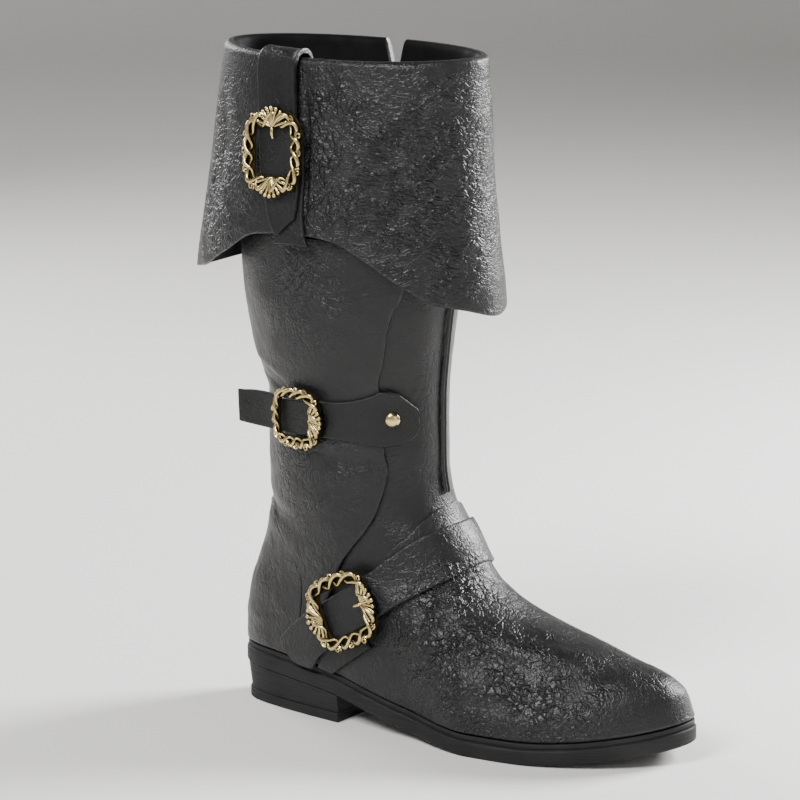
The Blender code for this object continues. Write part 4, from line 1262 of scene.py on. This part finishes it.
def add_straps(finishes):
    """The ankle, calf and cuff straps with the short pieces under two of them."""
    strap = finishes["strap"]

    def strap_tags(turn):
        return {"wrinkled": turn * 0 + STRAP_WRINKLED, "drawn": turn * 0}

    # ankle strap: between its edges on the leg, from the tail round the front to the inner side
    lower = ((0.144, 0.025),) + ANKLE_STRAP_LOWER
    first = math.acos(1 - 2 * TAIL_PLACE)
    turns = first + (2 * math.pi - 2 * first) * edge_shares(230, 0.34)
    outer = np.minimum(turns, 2 * math.pi - turns)
    low = edge_level(outer, lower, EDGE_TOP)
    high = edge_level(outer, ANKLE_STRAP_UPPER, EDGE_TOP)
    share = edge_shares(22, 0.032)[:, None]
    level = low + (high - low) * share
    turn = np.repeat(turns[None, :], len(share), axis=0)
    degrees = np.degrees(turn)
    off = np.clip((degrees - STRAP_STEP[0]) / STRAP_STEP[1], 0, 1)
    lift = STRAP_LIFT - (STRAP_LIFT - STRAP_BASE_LIFT) * off * off * (3 - 2 * off)
    relief = detail(leg_surface, turn, level, "ankle_strap_leather")
    tags = leather_tags(leg_surface, turn, level, LEG_WRINKLES, ())
    add_sheet("ankle_strap_leather", leg_surface, turn, level, lift, STRAP, finishes["leather"],
              ["ankle_strap"], relief, tags)

    # short piece under the ankle strap, given by its outline seen from the side
    along = edge_shares(30, 0.05)[None, :]
    across = edge_shares(24, 0.03)[:, None]
    number_u, number_l = np.arange(len(ANKLE_BASE_UPPER)), np.arange(len(ANKLE_BASE_LOWER))
    ends = len(ANKLE_BASE_UPPER) - 1
    edge_u = [through(number_u, column(ANKLE_BASE_UPPER, k), across * ends) for k in (0, 1)]
    edge_l = [through(number_l, column(ANKLE_BASE_LOWER, k), across * ends) for k in (0, 1)]
    x = (edge_u[0] + (edge_l[0] - edge_u[0]) * along) * SOLE_LENGTH
    z = SEAT + (edge_u[1] + (edge_l[1] - edge_u[1]) * along) * LEG
    turn, level = place_seen(x, z)
    level = np.clip(level, 0.15, None)
    add_sheet("ankle_base_leather", leg_surface, turn, level, STRAP_BASE_LIFT, STRAP, strap,
              ["ankle_strap_base"], 0.0, strap_tags(turn))

    # calf strap from its free tail to the round tab
    rows = [(turn, low, turn, high, stand) for turn, low, high, stand in CALF_STRAP]
    across = edge_shares(20, 0.02)[None, :]
    turn, level, stand = band(rows, 9, across)
    turn, level, stand = turn.T, level.T, stand.T
    relief = detail(leg_surface, turn, level, "calf_strap_leather")
    add_sheet("calf_strap_leather", leg_surface, turn, level, STRAP_BASE_LIFT + stand, STRAP, strap,
              ["calf_strap"], relief, strap_tags(turn))

    # cuff strap over the rim, and the band under it
    for name, node, rows, lift, steps in (
        ("cuff_band_leather", "cuff_band", CUFF_BAND, CUFF_BAND_LIFT, 12),
        ("cuff_strap_leather", "cuff_strap", CUFF_STRAP, CUFF_STRAP_LIFT, 9),
    ):
        flat = [(back, row, front, row, 0) for row, back, front in rows]
        across = edge_shares(26, 0.022)[None, :]
        turn, level, stand = band(flat, steps, across)
        relief = detail(cuff_surface, turn, level, name)
        ridge = STRAP_RIDGE * np.exp(-(((1 - across) / 0.07) ** 2)) * np.clip(level / 0.2, 0, 1)
        add_sheet(name, cuff_surface, turn, level, lift + stand, STRAP, strap, [node],
                  relief + (ridge if node == "cuff_strap" else 0), strap_tags(turn))


def tube(path, outward, radii, sides=8, closed=False):
    """A round bar along a path: rings across its direction, with the radii given, the ends closed."""
    path = np.asarray(path, float)
    direction = np.roll(path, -1, axis=0) - np.roll(path, 1, axis=0)
    if not closed:
        direction[0], direction[-1] = path[1] - path[0], path[-1] - path[-2]
    direction /= np.linalg.norm(direction, axis=1, keepdims=True)
    side = np.cross(outward, direction)
    side /= np.linalg.norm(side, axis=1, keepdims=True)
    up = np.cross(direction, side)
    angle = round_turns(sides)
    ring = side[:, None] * np.cos(angle)[:, None] + up[:, None] * np.sin(angle)[:, None]
    points = path[:, None] + ring * np.asarray(radii)[:, None, None]
    faces = grid_quads(len(path), sides, closed_columns=True, closed_rows=closed).tolist()
    if not closed:
        faces.append(list(range(sides))[::-1])
        faces.append([(len(path) - 1) * sides + k for k in range(sides)])
    return points.reshape(-1, 3), faces


def joined(parts):
    """Several meshes as one: their points, and their faces renumbered."""
    points, faces, count = [], [], 0
    for part_points, part_faces in parts:
        points.append(part_points)
        faces += [[corner + count for corner in face] for face in part_faces]
        count += len(part_points)
    return np.concatenate(points), faces


def outline_at(angle, length, width, power):
    """A rectangle with rounded corners: its point in each direction from the middle."""
    reach = (np.abs(np.cos(angle)) ** power + np.abs(np.sin(angle)) ** power) ** (-1 / power)
    return np.stack([length / 2 * reach * np.cos(angle), width / 2 * reach * np.sin(angle)], -1)


def pearl(u, v, height, radius):
    """A bead: half rounds about its middle, as rings of a ball."""
    rise = np.linspace(-math.pi / 2, math.pi / 2, 9)
    angle = round_turns(12)
    around = np.cos(rise)[:, None] * radius
    points = np.stack([
        u + around * np.cos(angle),
        v + around * np.sin(angle),
        height + np.sin(rise)[:, None] * radius + angle * 0,
    ], -1)
    faces = grid_quads(len(rise), 12, closed_columns=True).tolist()
    return points.reshape(-1, 3), faces


def scroll(middle, start, turns, radius, thick, height, hand):
    """A curl: a bar wound inward, its radius and thickness shrinking towards the middle."""
    share = np.linspace(0, 1, 34)
    angle = start + hand * share * turns * 2 * math.pi
    reach = radius * (1 - 0.80 * share)
    path = np.stack([
        middle[0] + reach * np.cos(angle), middle[1] + reach * np.sin(angle), height + 0.0004 * share
    ], -1)
    return tube(path, UP, thick * (1 - 0.45 * share) * rounded_edge(share, 0.10), 7)


def shell(end, reach, root, half_width):
    """A fan of petals from one root: each a bar that bends outward and swells to a bead at its tip."""
    parts = []
    share = np.linspace(0, 1, 18)
    for k in range(PETALS):
        lean = (k / (PETALS - 1) - 0.5) * 2
        angle = lean * math.radians(PETAL_LEAN)
        u = root + reach * 0.86 * share * math.cos(angle)
        v = half_width * math.sin(angle) * share ** 1.35 + lean * 0.0007
        rise = SHELL_HEIGHT + 0.0010 * np.sin(share * math.pi * 0.8) - 0.0004 * abs(lean)
        path = np.stack([end * u, v * end, rise], -1)
        swell = 0.00055 + 0.00060 * share
        parts.append(tube(path, UP, swell * rounded_edge(1.02 - share, 0.08), 8))
        bead = 0.00125 + 0.00055 * (1 - abs(lean))
        parts.append(pearl(path[-1, 0], path[-1, 1], rise[-1] + 0.0002, bead))
    return parts


def frame_relief(frame, opening, shift, shells):
    """Parts of an ornate frame lying flat: its dark plate, two bars wound round each other, curls, shells."""
    count = BUCKLE_COLUMNS
    angle = round_turns(count)

    def outlines(angle):
        outside = outline_at(angle, frame[0] - 2 * SHELL_REACH, frame[1] - FRAME_INSET, 3)
        return outside, outline_at(angle, *opening, 8) + np.array([shift, 0])

    outer, inner = outlines(angle)
    parts = []
    plate = [
        np.column_stack([inner + (outer - inner) * share, np.full(count, rise)])
        for share, rise in PLATE_SECTION
    ]
    faces = grid_quads(len(plate), count, closed_columns=True, closed_rows=True)
    parts.append((np.concatenate(plate), faces.tolist()))
    # two bars winding round each other, thicker at their outward bends
    for phase in (0.0, math.pi):
        wave = angle * STRAND_WAVES + phase
        share = BAR_ACROSS[0] + BAR_ACROSS[1] * np.cos(wave)
        rise = BAR_HEIGHT[0] + BAR_HEIGHT[1] * np.sin(wave)
        path = np.column_stack([inner + (outer - inner) * share[:, None], rise])
        thick = BAR_RADIUS[0] + BAR_RADIUS[1] * np.cos(wave)
        parts.append(tube(path, UP, thick, 8, closed=True))
    # curls along the outside, one in each outward bend of the bars
    for k in range(STRAND_WAVES * 2):
        at = (k + 0.5) * math.pi / STRAND_WAVES
        end = math.cos(at)
        if end > 0.80 and shells[0] or end < -0.80 and shells[1]:
            continue
        outside, inside = outlines(at)
        middle = inside + (outside - inside) * (0.84 if k % 2 else 0.70)
        parts.append(scroll(middle, at + 1.2, *CURL, 1.0 if k % 2 else -1.0))
    for end, share in ((1.0, shells[0]), (-1.0, shells[1])):
        if share:
            root = opening[0] / 2 + end * shift + 0.0010
            reach = frame[0] / 2 - root - 0.0008
            parts += shell(end, reach, root, frame[1] * SHELL_WIDTH)
    return joined(parts)


def add_buckle(name, surface, lift, frame, opening, finish, shells=(1, 1), shift=0.0, prong=True):
    """An ornate buckle laid on its strap, with its prong lying over the strap."""
    turn, level, angle = BUCKLE_PLACES[name]
    point, along, across, outward = frame_at(surface, math.radians(turn), level, lift, math.radians(angle))
    points, faces = frame_relief(frame, opening, shift, shells)
    points = points * np.array([1, 1, BUCKLE_THICKNESS / ORNAMENT_HEIGHT])
    axes = np.stack([along, across, outward])
    piece = add_piece(name + "_buckle_brass", point + points @ axes, faces, finish, [name + "_buckle"],
                      {"relief": np.zeros(len(points))})
    normals = np.zeros(len(points) * 3, np.float32)
    piece.data.vertices.foreach_get("normal", normals)
    # The relief attribute: height above the plate, for patina in the hollows, times how far the surface faces
    # out, which paints shade on the sides of the bars
    facing = np.clip(normals.reshape(-1, 3) @ outward, 0, 1)
    relief = np.clip((points[:, 2] - 0.0010) / 0.0022, 0, 1) * (0.15 + 0.85 * facing ** 1.6)
    piece.data.attributes["relief"].data.foreach_set("value", relief.astype(np.float32))
    if not prong:
        return
    share = np.linspace(0, 1, 18)
    root = opening[0] / 2 + 0.0012
    path = np.column_stack([root - (PRONG_LENGTH + 0.0012) * share, share * 0,
                            0.0024 + 0.0009 * np.sin(share * math.pi) - 0.0012 * share])
    radii = PRONG_DIAMETER / 2 * (1 - 0.45 * share) * rounded_edge(np.minimum(share, 1 - share), 0.12)
    points, faces = tube(path, UP, np.maximum(radii, 0.0001), 12)
    add_piece(name + "_prong_brass", point + points @ axes, faces, finish, [name + "_prong"],
              {"relief": np.full(len(points), 0.9)})


def add_buckles(finishes):
    """The three buckles with their prongs, and the domed stud on the calf strap's tab."""
    brass = finishes["brass"]
    ankle_lift = STRAP_LIFT + STRAP + GAP + ANKLE_BUCKLE_RISE
    stud_lift = STRAP_BASE_LIFT + STRAP
    cuff_lift = CUFF_STRAP_LIFT + STRAP + GAP + CUFF_BUCKLE_RISE
    add_buckle("ankle", leg_surface, ankle_lift, ANKLE_FRAME, ANKLE_OPENING, brass)
    add_buckle("calf", leg_surface, stud_lift + GAP + CALF_BUCKLE_RISE, CALF_FRAME, CALF_OPENING, brass,
               shells=(1, 0), shift=CALF_OPENING_SHIFT, prong=False)
    add_buckle("cuff", cuff_surface, cuff_lift, CUFF_FRAME, CUFF_OPENING, brass)
    turn, level = STUD_PLACE
    point, along, across, outward = frame_at(leg_surface, math.radians(turn), level, stud_lift, 0.0)
    rise = np.linspace(0, math.pi / 2, 14)
    radius = np.concatenate([[0.0], [0.84, 0.97, 1.0], np.cos(rise[2:])]) * STUD_DIAMETER / 2
    height = np.concatenate([[0.0], [0.0, 0.08, 0.22], 0.22 + 0.78 * np.sin(rise[2:])]) * STUD_HEIGHT
    around = round_turns(40)
    radius = np.maximum(radius, 0.00002)
    ring = np.cos(around)[:, None] * along + np.sin(around)[:, None] * across
    points = point + radius[:, None, None] * ring + height[:, None, None] * outward
    faces = grid_quads(len(radius), 40, closed_columns=True).tolist()
    relief = np.full(points.size // 3, 1.0)
    add_piece("stud_brass", points, faces, brass, ["stud"], {"relief": relief})


def sole_stack(name, rings, finish, node):
    """A solid between its lowest and highest ring, capped by strips across the boot."""
    rings = np.array(rings)
    levels, count = rings.shape[:2]
    faces = grid_quads(levels, count, closed_columns=True).tolist()
    top = (levels - 1) * count
    for near in range((count + 1) // 2):
        across = [near, near + 1, (-near - 1) % count, -near % count]
        corners = list(dict.fromkeys(across))
        if len(corners) > 2:
            faces.append(corners[::-1])
            faces.append([top + corner for corner in corners])
    add_piece(name, rings, faces, finish, [node])


def sole_ring(turn, inset, base, height=0.0):
    """One ring of the sole: its outline drawn in, at a height above the base at each place."""
    x, y = sole_line(turn, inset)
    return np.stack([x, y, base(x) + height], -1)


def rounded_rings(turns_of, inset, base, low, high, radius, steps=5):
    """Rings of a side with both edges rounded, from the lowest to the highest."""
    angle = np.linspace(0, math.pi / 2, steps)
    rows = [(radius * (1 - math.sin(a)), low + radius * (1 - math.cos(a))) for a in angle]
    rows += [(0.0, low + (high - low) * share) for share in (0.3, 0.5, 0.7)]
    rows += [(radius * (1 - math.cos(a)), high - radius * (1 - math.sin(a))) for a in angle]
    return [sole_ring(turns_of(inset + more), inset + more, base, height) for more, height in rows]


def add_outsole(finishes):
    """The outsole: rounded edges, a groove under the welt and a curve that follows the foot."""
    turn = round_turns(SOLE_COLUMNS)
    step = SOLE_THICKNESS * WELT_PLACE
    rings = rounded_rings(lambda inset: turn, 0, sole_bottom, 0, step, SOLE_EDGE)
    for height in (step, step + GROOVE_WIDTH):
        rings.append(sole_ring(turn, WELT_STEP + GROOVE_DEPTH, sole_bottom, height))
    rings += rounded_rings(lambda inset: turn, WELT_STEP, sole_bottom, step + 0.0006, SOLE_THICKNESS, 0.0008)
    sole_stack("outsole_rubber", rings, finishes["sole"], "outsole")


def heel_turns(inset):
    """Turns of the heel's outline: the sole's behind the breast, and even steps along the breast."""
    breast = math.acos(1 - 2 * (HEEL_LENGTH - inset) / (SOLE_LENGTH - 2 * inset))
    outer = np.linspace(0, breast, 64)
    return np.concatenate([outer, -outer[:0:-1]])


def add_heel(finishes):
    """The heel block, built up in thin layers, and the top lift under it."""
    low = LIFT_THICKNESS + GAP
    rings = []
    for share in np.linspace(0, 1, 41):
        layer = (share * HEEL_LAYERS) % 1
        groove = 0.00014 * math.exp(-(((layer - 0.5) / 0.10) ** 2))
        inset = HEEL_INSET + HEEL_TAPER * (1 - share) + groove
        rings.append(
            sole_ring(heel_turns(inset), inset, lambda x: low + (sole_bottom(x) - GAP - low) * share)
        )
    sole_stack("heel_block_stack", rings, finishes["heel"], "heel_block")
    base = HEEL_INSET + HEEL_TAPER / 2
    rings = rounded_rings(heel_turns, base, lambda x: x * 0, 0, LIFT_THICKNESS, SOLE_EDGE / 2)
    sole_stack("top_lift_rubber", rings, finishes["sole"], "top_lift")


def add_insole(finishes):
    """The insole, with rounded edges, on the outsole."""
    turn = round_turns(INSOLE_COLUMNS)
    start = WELT + WALL + INSOLE_ROOM
    rings = rounded_rings(lambda inset: turn, start, lambda x: feather(x) + GAP, 0, INSOLE_THICKNESS, 0.0009)
    sole_stack("insole_lining", rings, finishes["lining"], "insole")


def aimed(name, data, place, target):
    """A light or camera at a place, facing its target."""
    holder = bpy.data.objects.new(name, data)
    holder.location = place
    holder.rotation_euler = (Vector(target) - Vector(place)).to_track_quat("-Z", "Y").to_euler()
    bpy.context.scene.collection.objects.link(holder)
    return holder


def add_stage(stage):
    """Pale floor that curves up far behind the boot, soft lights and the camera."""
    bend = np.linspace(0.1, 1.5, 12)
    flat = np.linspace(0.3, FLOOR_RADIUS, 10)
    radius = np.concatenate([[0.0001], flat, FLOOR_RADIUS + FLOOR_CURVE * np.sin(bend), [FLOOR_RIM]])
    height = np.concatenate([np.zeros(11), FLOOR_CURVE * (1 - np.cos(bend)), [FLOOR_HEIGHT]])
    angle = round_turns(96)
    points = np.stack([
        radius[:, None] * np.cos(angle), radius[:, None] * np.sin(angle), height[:, None] + angle * 0
    ], -1)
    mesh = bpy.data.meshes.new("floor")
    faces = grid_quads(len(radius), 96, closed_columns=True)[:, ::-1]
    mesh.from_pydata(points.reshape(-1, 3).tolist(), [], faces.tolist())
    finish, tree, shader = new_finish("pale_floor", Roughness=0.9, Specular_IOR_Level=0.2)
    place = object_place(tree)
    one, other = shades(stage.floor_color, 0.985, 1.0)
    tree.links.new(mixed_color(tree, noise(tree, place, 3.0), one, other), shader.inputs["Base Color"])
    mesh.materials.append(finish)
    mesh.shade_smooth()
    floor = bpy.data.objects.new("floor", mesh)
    bpy.context.scene.collection.objects.link(floor)
    for name, place, target, size, share in LIGHTS:
        lamp = bpy.data.lights.new(name, "AREA")
        lamp.size = size
        lamp.energy = share * stage.light_power
        aimed(name, lamp, place, target)
    world = bpy.data.worlds.new("studio")
    world.use_nodes = True
    background = world.node_tree.nodes["Background"]
    background.inputs["Color"].default_value = (1.0, 1.0, 1.0, 1.0)
    background.inputs["Strength"].default_value = stage.sky_strength
    bpy.context.scene.world = world
    lens = bpy.data.cameras.new("camera")
    lens.lens = CAMERA_LENS
    lens.sensor_width = 36.0
    lens.shift_x = CAMERA_SHIFT
    lens.clip_end = 20.0
    bpy.context.scene.camera = aimed("camera", lens, CAMERA_PLACE, CAMERA_TARGET)


class BootLeatherLook(bpy.types.PropertyGroup):
    """Sizes and colour of the leather."""

    color: bpy.props.FloatVectorProperty(
        name="Colour", description="Colour of the leather", subtype="COLOR", size=3,
        default=(0.0085, 0.0085, 0.0090), min=0.0, max=1.0,
    )
    roughness: bpy.props.FloatProperty(
        name="Roughness", description="Roughness of the finish coat", default=0.42, min=0.1, max=0.9,
        subtype="FACTOR",
    )
    coat: bpy.props.FloatProperty(
        name="Gloss", description="Weight of the glossy coat", default=0.14, min=0.0, max=1.0,
        subtype="FACTOR",
    )
    crease_share: bpy.props.FloatProperty(
        name="Creases", description="Share of the main creases' depth", default=1.0, min=0.0, max=1.5,
        subtype="FACTOR",
    )
    wrinkle_size: bpy.props.FloatProperty(
        name="Wrinkle size", description="Width of the cells between fine wrinkles", default=0.0042,
        min=0.001, max=0.02, unit="LENGTH",
    )
    wrinkle_depth: bpy.props.FloatProperty(
        name="Wrinkle depth", description="Depth of the fine wrinkles", default=0.0009, min=0.0, max=0.003,
        unit="LENGTH", precision=5,
    )
    grain_size: bpy.props.FloatProperty(
        name="Grain size", description="Width of the leather's pores", default=0.0011, min=0.0003, max=0.005,
        unit="LENGTH", precision=5,
    )
    grain_depth: bpy.props.FloatProperty(
        name="Grain depth", description="Depth of the leather's pores", default=0.00018, min=0.0, max=0.001,
        unit="LENGTH", precision=5,
    )
    lining_color: bpy.props.FloatVectorProperty(
        name="Lining", description="Colour of the lining", subtype="COLOR", size=3,
        default=(0.003, 0.003, 0.0035), min=0.0, max=1.0,
    )


class BootSoleLook(bpy.types.PropertyGroup):
    """Colour and gloss of the sole and heel."""

    color: bpy.props.FloatVectorProperty(
        name="Colour", description="Colour of the sole", subtype="COLOR", size=3,
        default=(0.012, 0.012, 0.0125), min=0.0, max=1.0,
    )
    roughness: bpy.props.FloatProperty(
        name="Roughness", description="Roughness of the sole", default=0.62, min=0.1, max=1.0,
        subtype="FACTOR",
    )


class BootBrassLook(bpy.types.PropertyGroup):
    """Colours and gloss of the buckles."""

    color: bpy.props.FloatVectorProperty(
        name="Bright brass", description="Colour on the tops of the relief", subtype="COLOR", size=3,
        default=(0.66, 0.52, 0.25), min=0.0, max=1.0,
    )
    patina_and_side_shade_color: bpy.props.FloatVectorProperty(
        name="Hollows", description="Colour in the hollows of the relief", subtype="COLOR", size=3,
        default=(0.030, 0.023, 0.009), min=0.0, max=1.0,
    )
    roughness: bpy.props.FloatProperty(
        name="Roughness", description="Roughness of the bright tops", default=0.20, min=0.05, max=0.9,
        subtype="FACTOR",
    )


class BootStageLook(bpy.types.PropertyGroup):
    """The floor and the lights."""

    floor_color: bpy.props.FloatVectorProperty(
        name="Floor", description="Colour of the floor", subtype="COLOR", size=3,
        default=(0.80, 0.79, 0.77), min=0.0, max=1.0,
    )
    light_power: bpy.props.FloatProperty(
        name="Lights", description="Power of a light whose share is one", default=68.0, min=0.0, max=1000.0,
        unit="POWER",
    )
    sky_strength: bpy.props.FloatProperty(
        name="Sky", description="Strength of the even light all round", default=0.07, min=0.0, max=3.0,
    )


def finishes_of(scene):
    """The boot's materials by name, made once in the scene's first use of them."""
    made = {key: bpy.data.materials.get(name) for key, name in FINISH_NAMES.items()}
    if all(made.values()):
        return made
    leather, sole, brass = scene.boot_leather, scene.boot_sole, scene.boot_brass
    return {
        "leather": leather_finish(FINISH_NAMES["leather"], leather),
        "strap": leather_finish(FINISH_NAMES["strap"], leather, crinkled=0.5, shade=0.62, gloss=0.7),
        "lining": lining_finish(leather),
        "sole": sole_finish(FINISH_NAMES["sole"], sole, 900.0),
        "heel": sole_finish(FINISH_NAMES["heel"], sole, 600.0),
        "brass": brass_finish(brass),
    }


class BOOT_OT_upper(bpy.types.Operator):
    """Make the hollow foot and shaft"""

    bl_idname = "boot.upper"
    bl_label = "Upper"

    def execute(self, context):
        add_upper(context.scene.boot_leather, finishes_of(context.scene))
        return {"FINISHED"}


class BOOT_OT_panels(bpy.types.Operator):
    """Make the vamp, the heel counter and the side panels"""

    bl_idname = "boot.panels"
    bl_label = "Panels"

    def execute(self, context):
        add_panels(context.scene.boot_leather, finishes_of(context.scene))
        return {"FINISHED"}


class BOOT_OT_front_seam(bpy.types.Operator):
    """Make the raised seam down the front"""

    bl_idname = "boot.front_seam"
    bl_label = "Front seam"

    def execute(self, context):
        add_front_seam(finishes_of(context.scene))
        return {"FINISHED"}


class BOOT_OT_cuff(bpy.types.Operator):
    """Make the turned-down cuff"""

    bl_idname = "boot.cuff"
    bl_label = "Cuff"

    def execute(self, context):
        add_cuff(context.scene.boot_leather, finishes_of(context.scene))
        return {"FINISHED"}


class BOOT_OT_straps(bpy.types.Operator):
    """Make the ankle, calf and cuff straps"""

    bl_idname = "boot.straps"
    bl_label = "Straps"

    def execute(self, context):
        add_straps(finishes_of(context.scene))
        return {"FINISHED"}


class BOOT_OT_buckles(bpy.types.Operator):
    """Make the three ornate buckles and the stud"""

    bl_idname = "boot.buckles"
    bl_label = "Buckles"

    def execute(self, context):
        add_buckles(finishes_of(context.scene))
        return {"FINISHED"}


class BOOT_OT_sole(bpy.types.Operator):
    """Make the outsole, the heel, the top lift and the insole"""

    bl_idname = "boot.sole"
    bl_label = "Sole and heel"

    def execute(self, context):
        finishes = finishes_of(context.scene)
        add_outsole(finishes)
        add_heel(finishes)
        add_insole(finishes)
        return {"FINISHED"}


class BOOT_OT_stage(bpy.types.Operator):
    """Make the floor, the lights and the camera"""

    bl_idname = "boot.stage"
    bl_label = "Stage"

    def execute(self, context):
        add_stage(context.scene.boot_stage)
        return {"FINISHED"}


class BOOT_PT_panel(bpy.types.Panel):
    """The boot's sizes, colours and steps"""

    bl_idname = "BOOT_PT_panel"
    bl_label = "Cuffed boot"
    bl_space_type = "VIEW_3D"
    bl_region_type = "UI"
    bl_category = "Boot"

    def draw(self, context):
        layout = self.layout
        for title, look in LOOKS:
            box = layout.box()
            box.label(text=title)
            settings = getattr(context.scene, look)
            for key in settings.bl_rna.properties.keys():
                if key not in ("rna_type", "name"):
                    box.prop(settings, key)
        for operator in OPERATORS:
            layout.operator(operator.bl_idname)


LOOKS = (
    ("Leather", "boot_leather"),
    ("Sole and heel", "boot_sole"),
    ("Buckles", "boot_brass"),
    ("Stage", "boot_stage"),
)
LOOK_GROUPS = (BootLeatherLook, BootSoleLook, BootBrassLook, BootStageLook)
OPERATORS = (
    BOOT_OT_upper, BOOT_OT_panels, BOOT_OT_front_seam, BOOT_OT_cuff, BOOT_OT_straps, BOOT_OT_buckles,
    BOOT_OT_sole, BOOT_OT_stage,
)


def register():
    """Adds the settings, the operators and the panel."""
    for group in LOOK_GROUPS:
        bpy.utils.register_class(group)
    for (title, look), group in zip(LOOKS, LOOK_GROUPS):
        setattr(bpy.types.Scene, look, bpy.props.PointerProperty(type=group, name=title))
    for kind in OPERATORS + (BOOT_PT_panel,):
        bpy.utils.register_class(kind)


def unregister():
    """Removes them again, in the other order."""
    for kind in (BOOT_PT_panel,) + OPERATORS[::-1]:
        bpy.utils.unregister_class(kind)
    for title, look in LOOKS:
        delattr(bpy.types.Scene, look)
    for group in LOOK_GROUPS[::-1]:
        bpy.utils.unregister_class(group)


def main():
    """Registers the add-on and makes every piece."""
    register()
    bpy.ops.boot.upper()
    bpy.ops.boot.panels()
    bpy.ops.boot.front_seam()
    bpy.ops.boot.cuff()
    bpy.ops.boot.straps()
    bpy.ops.boot.buckles()
    bpy.ops.boot.sole()
    bpy.ops.boot.stage()


if __name__ == "__main__":
    main()
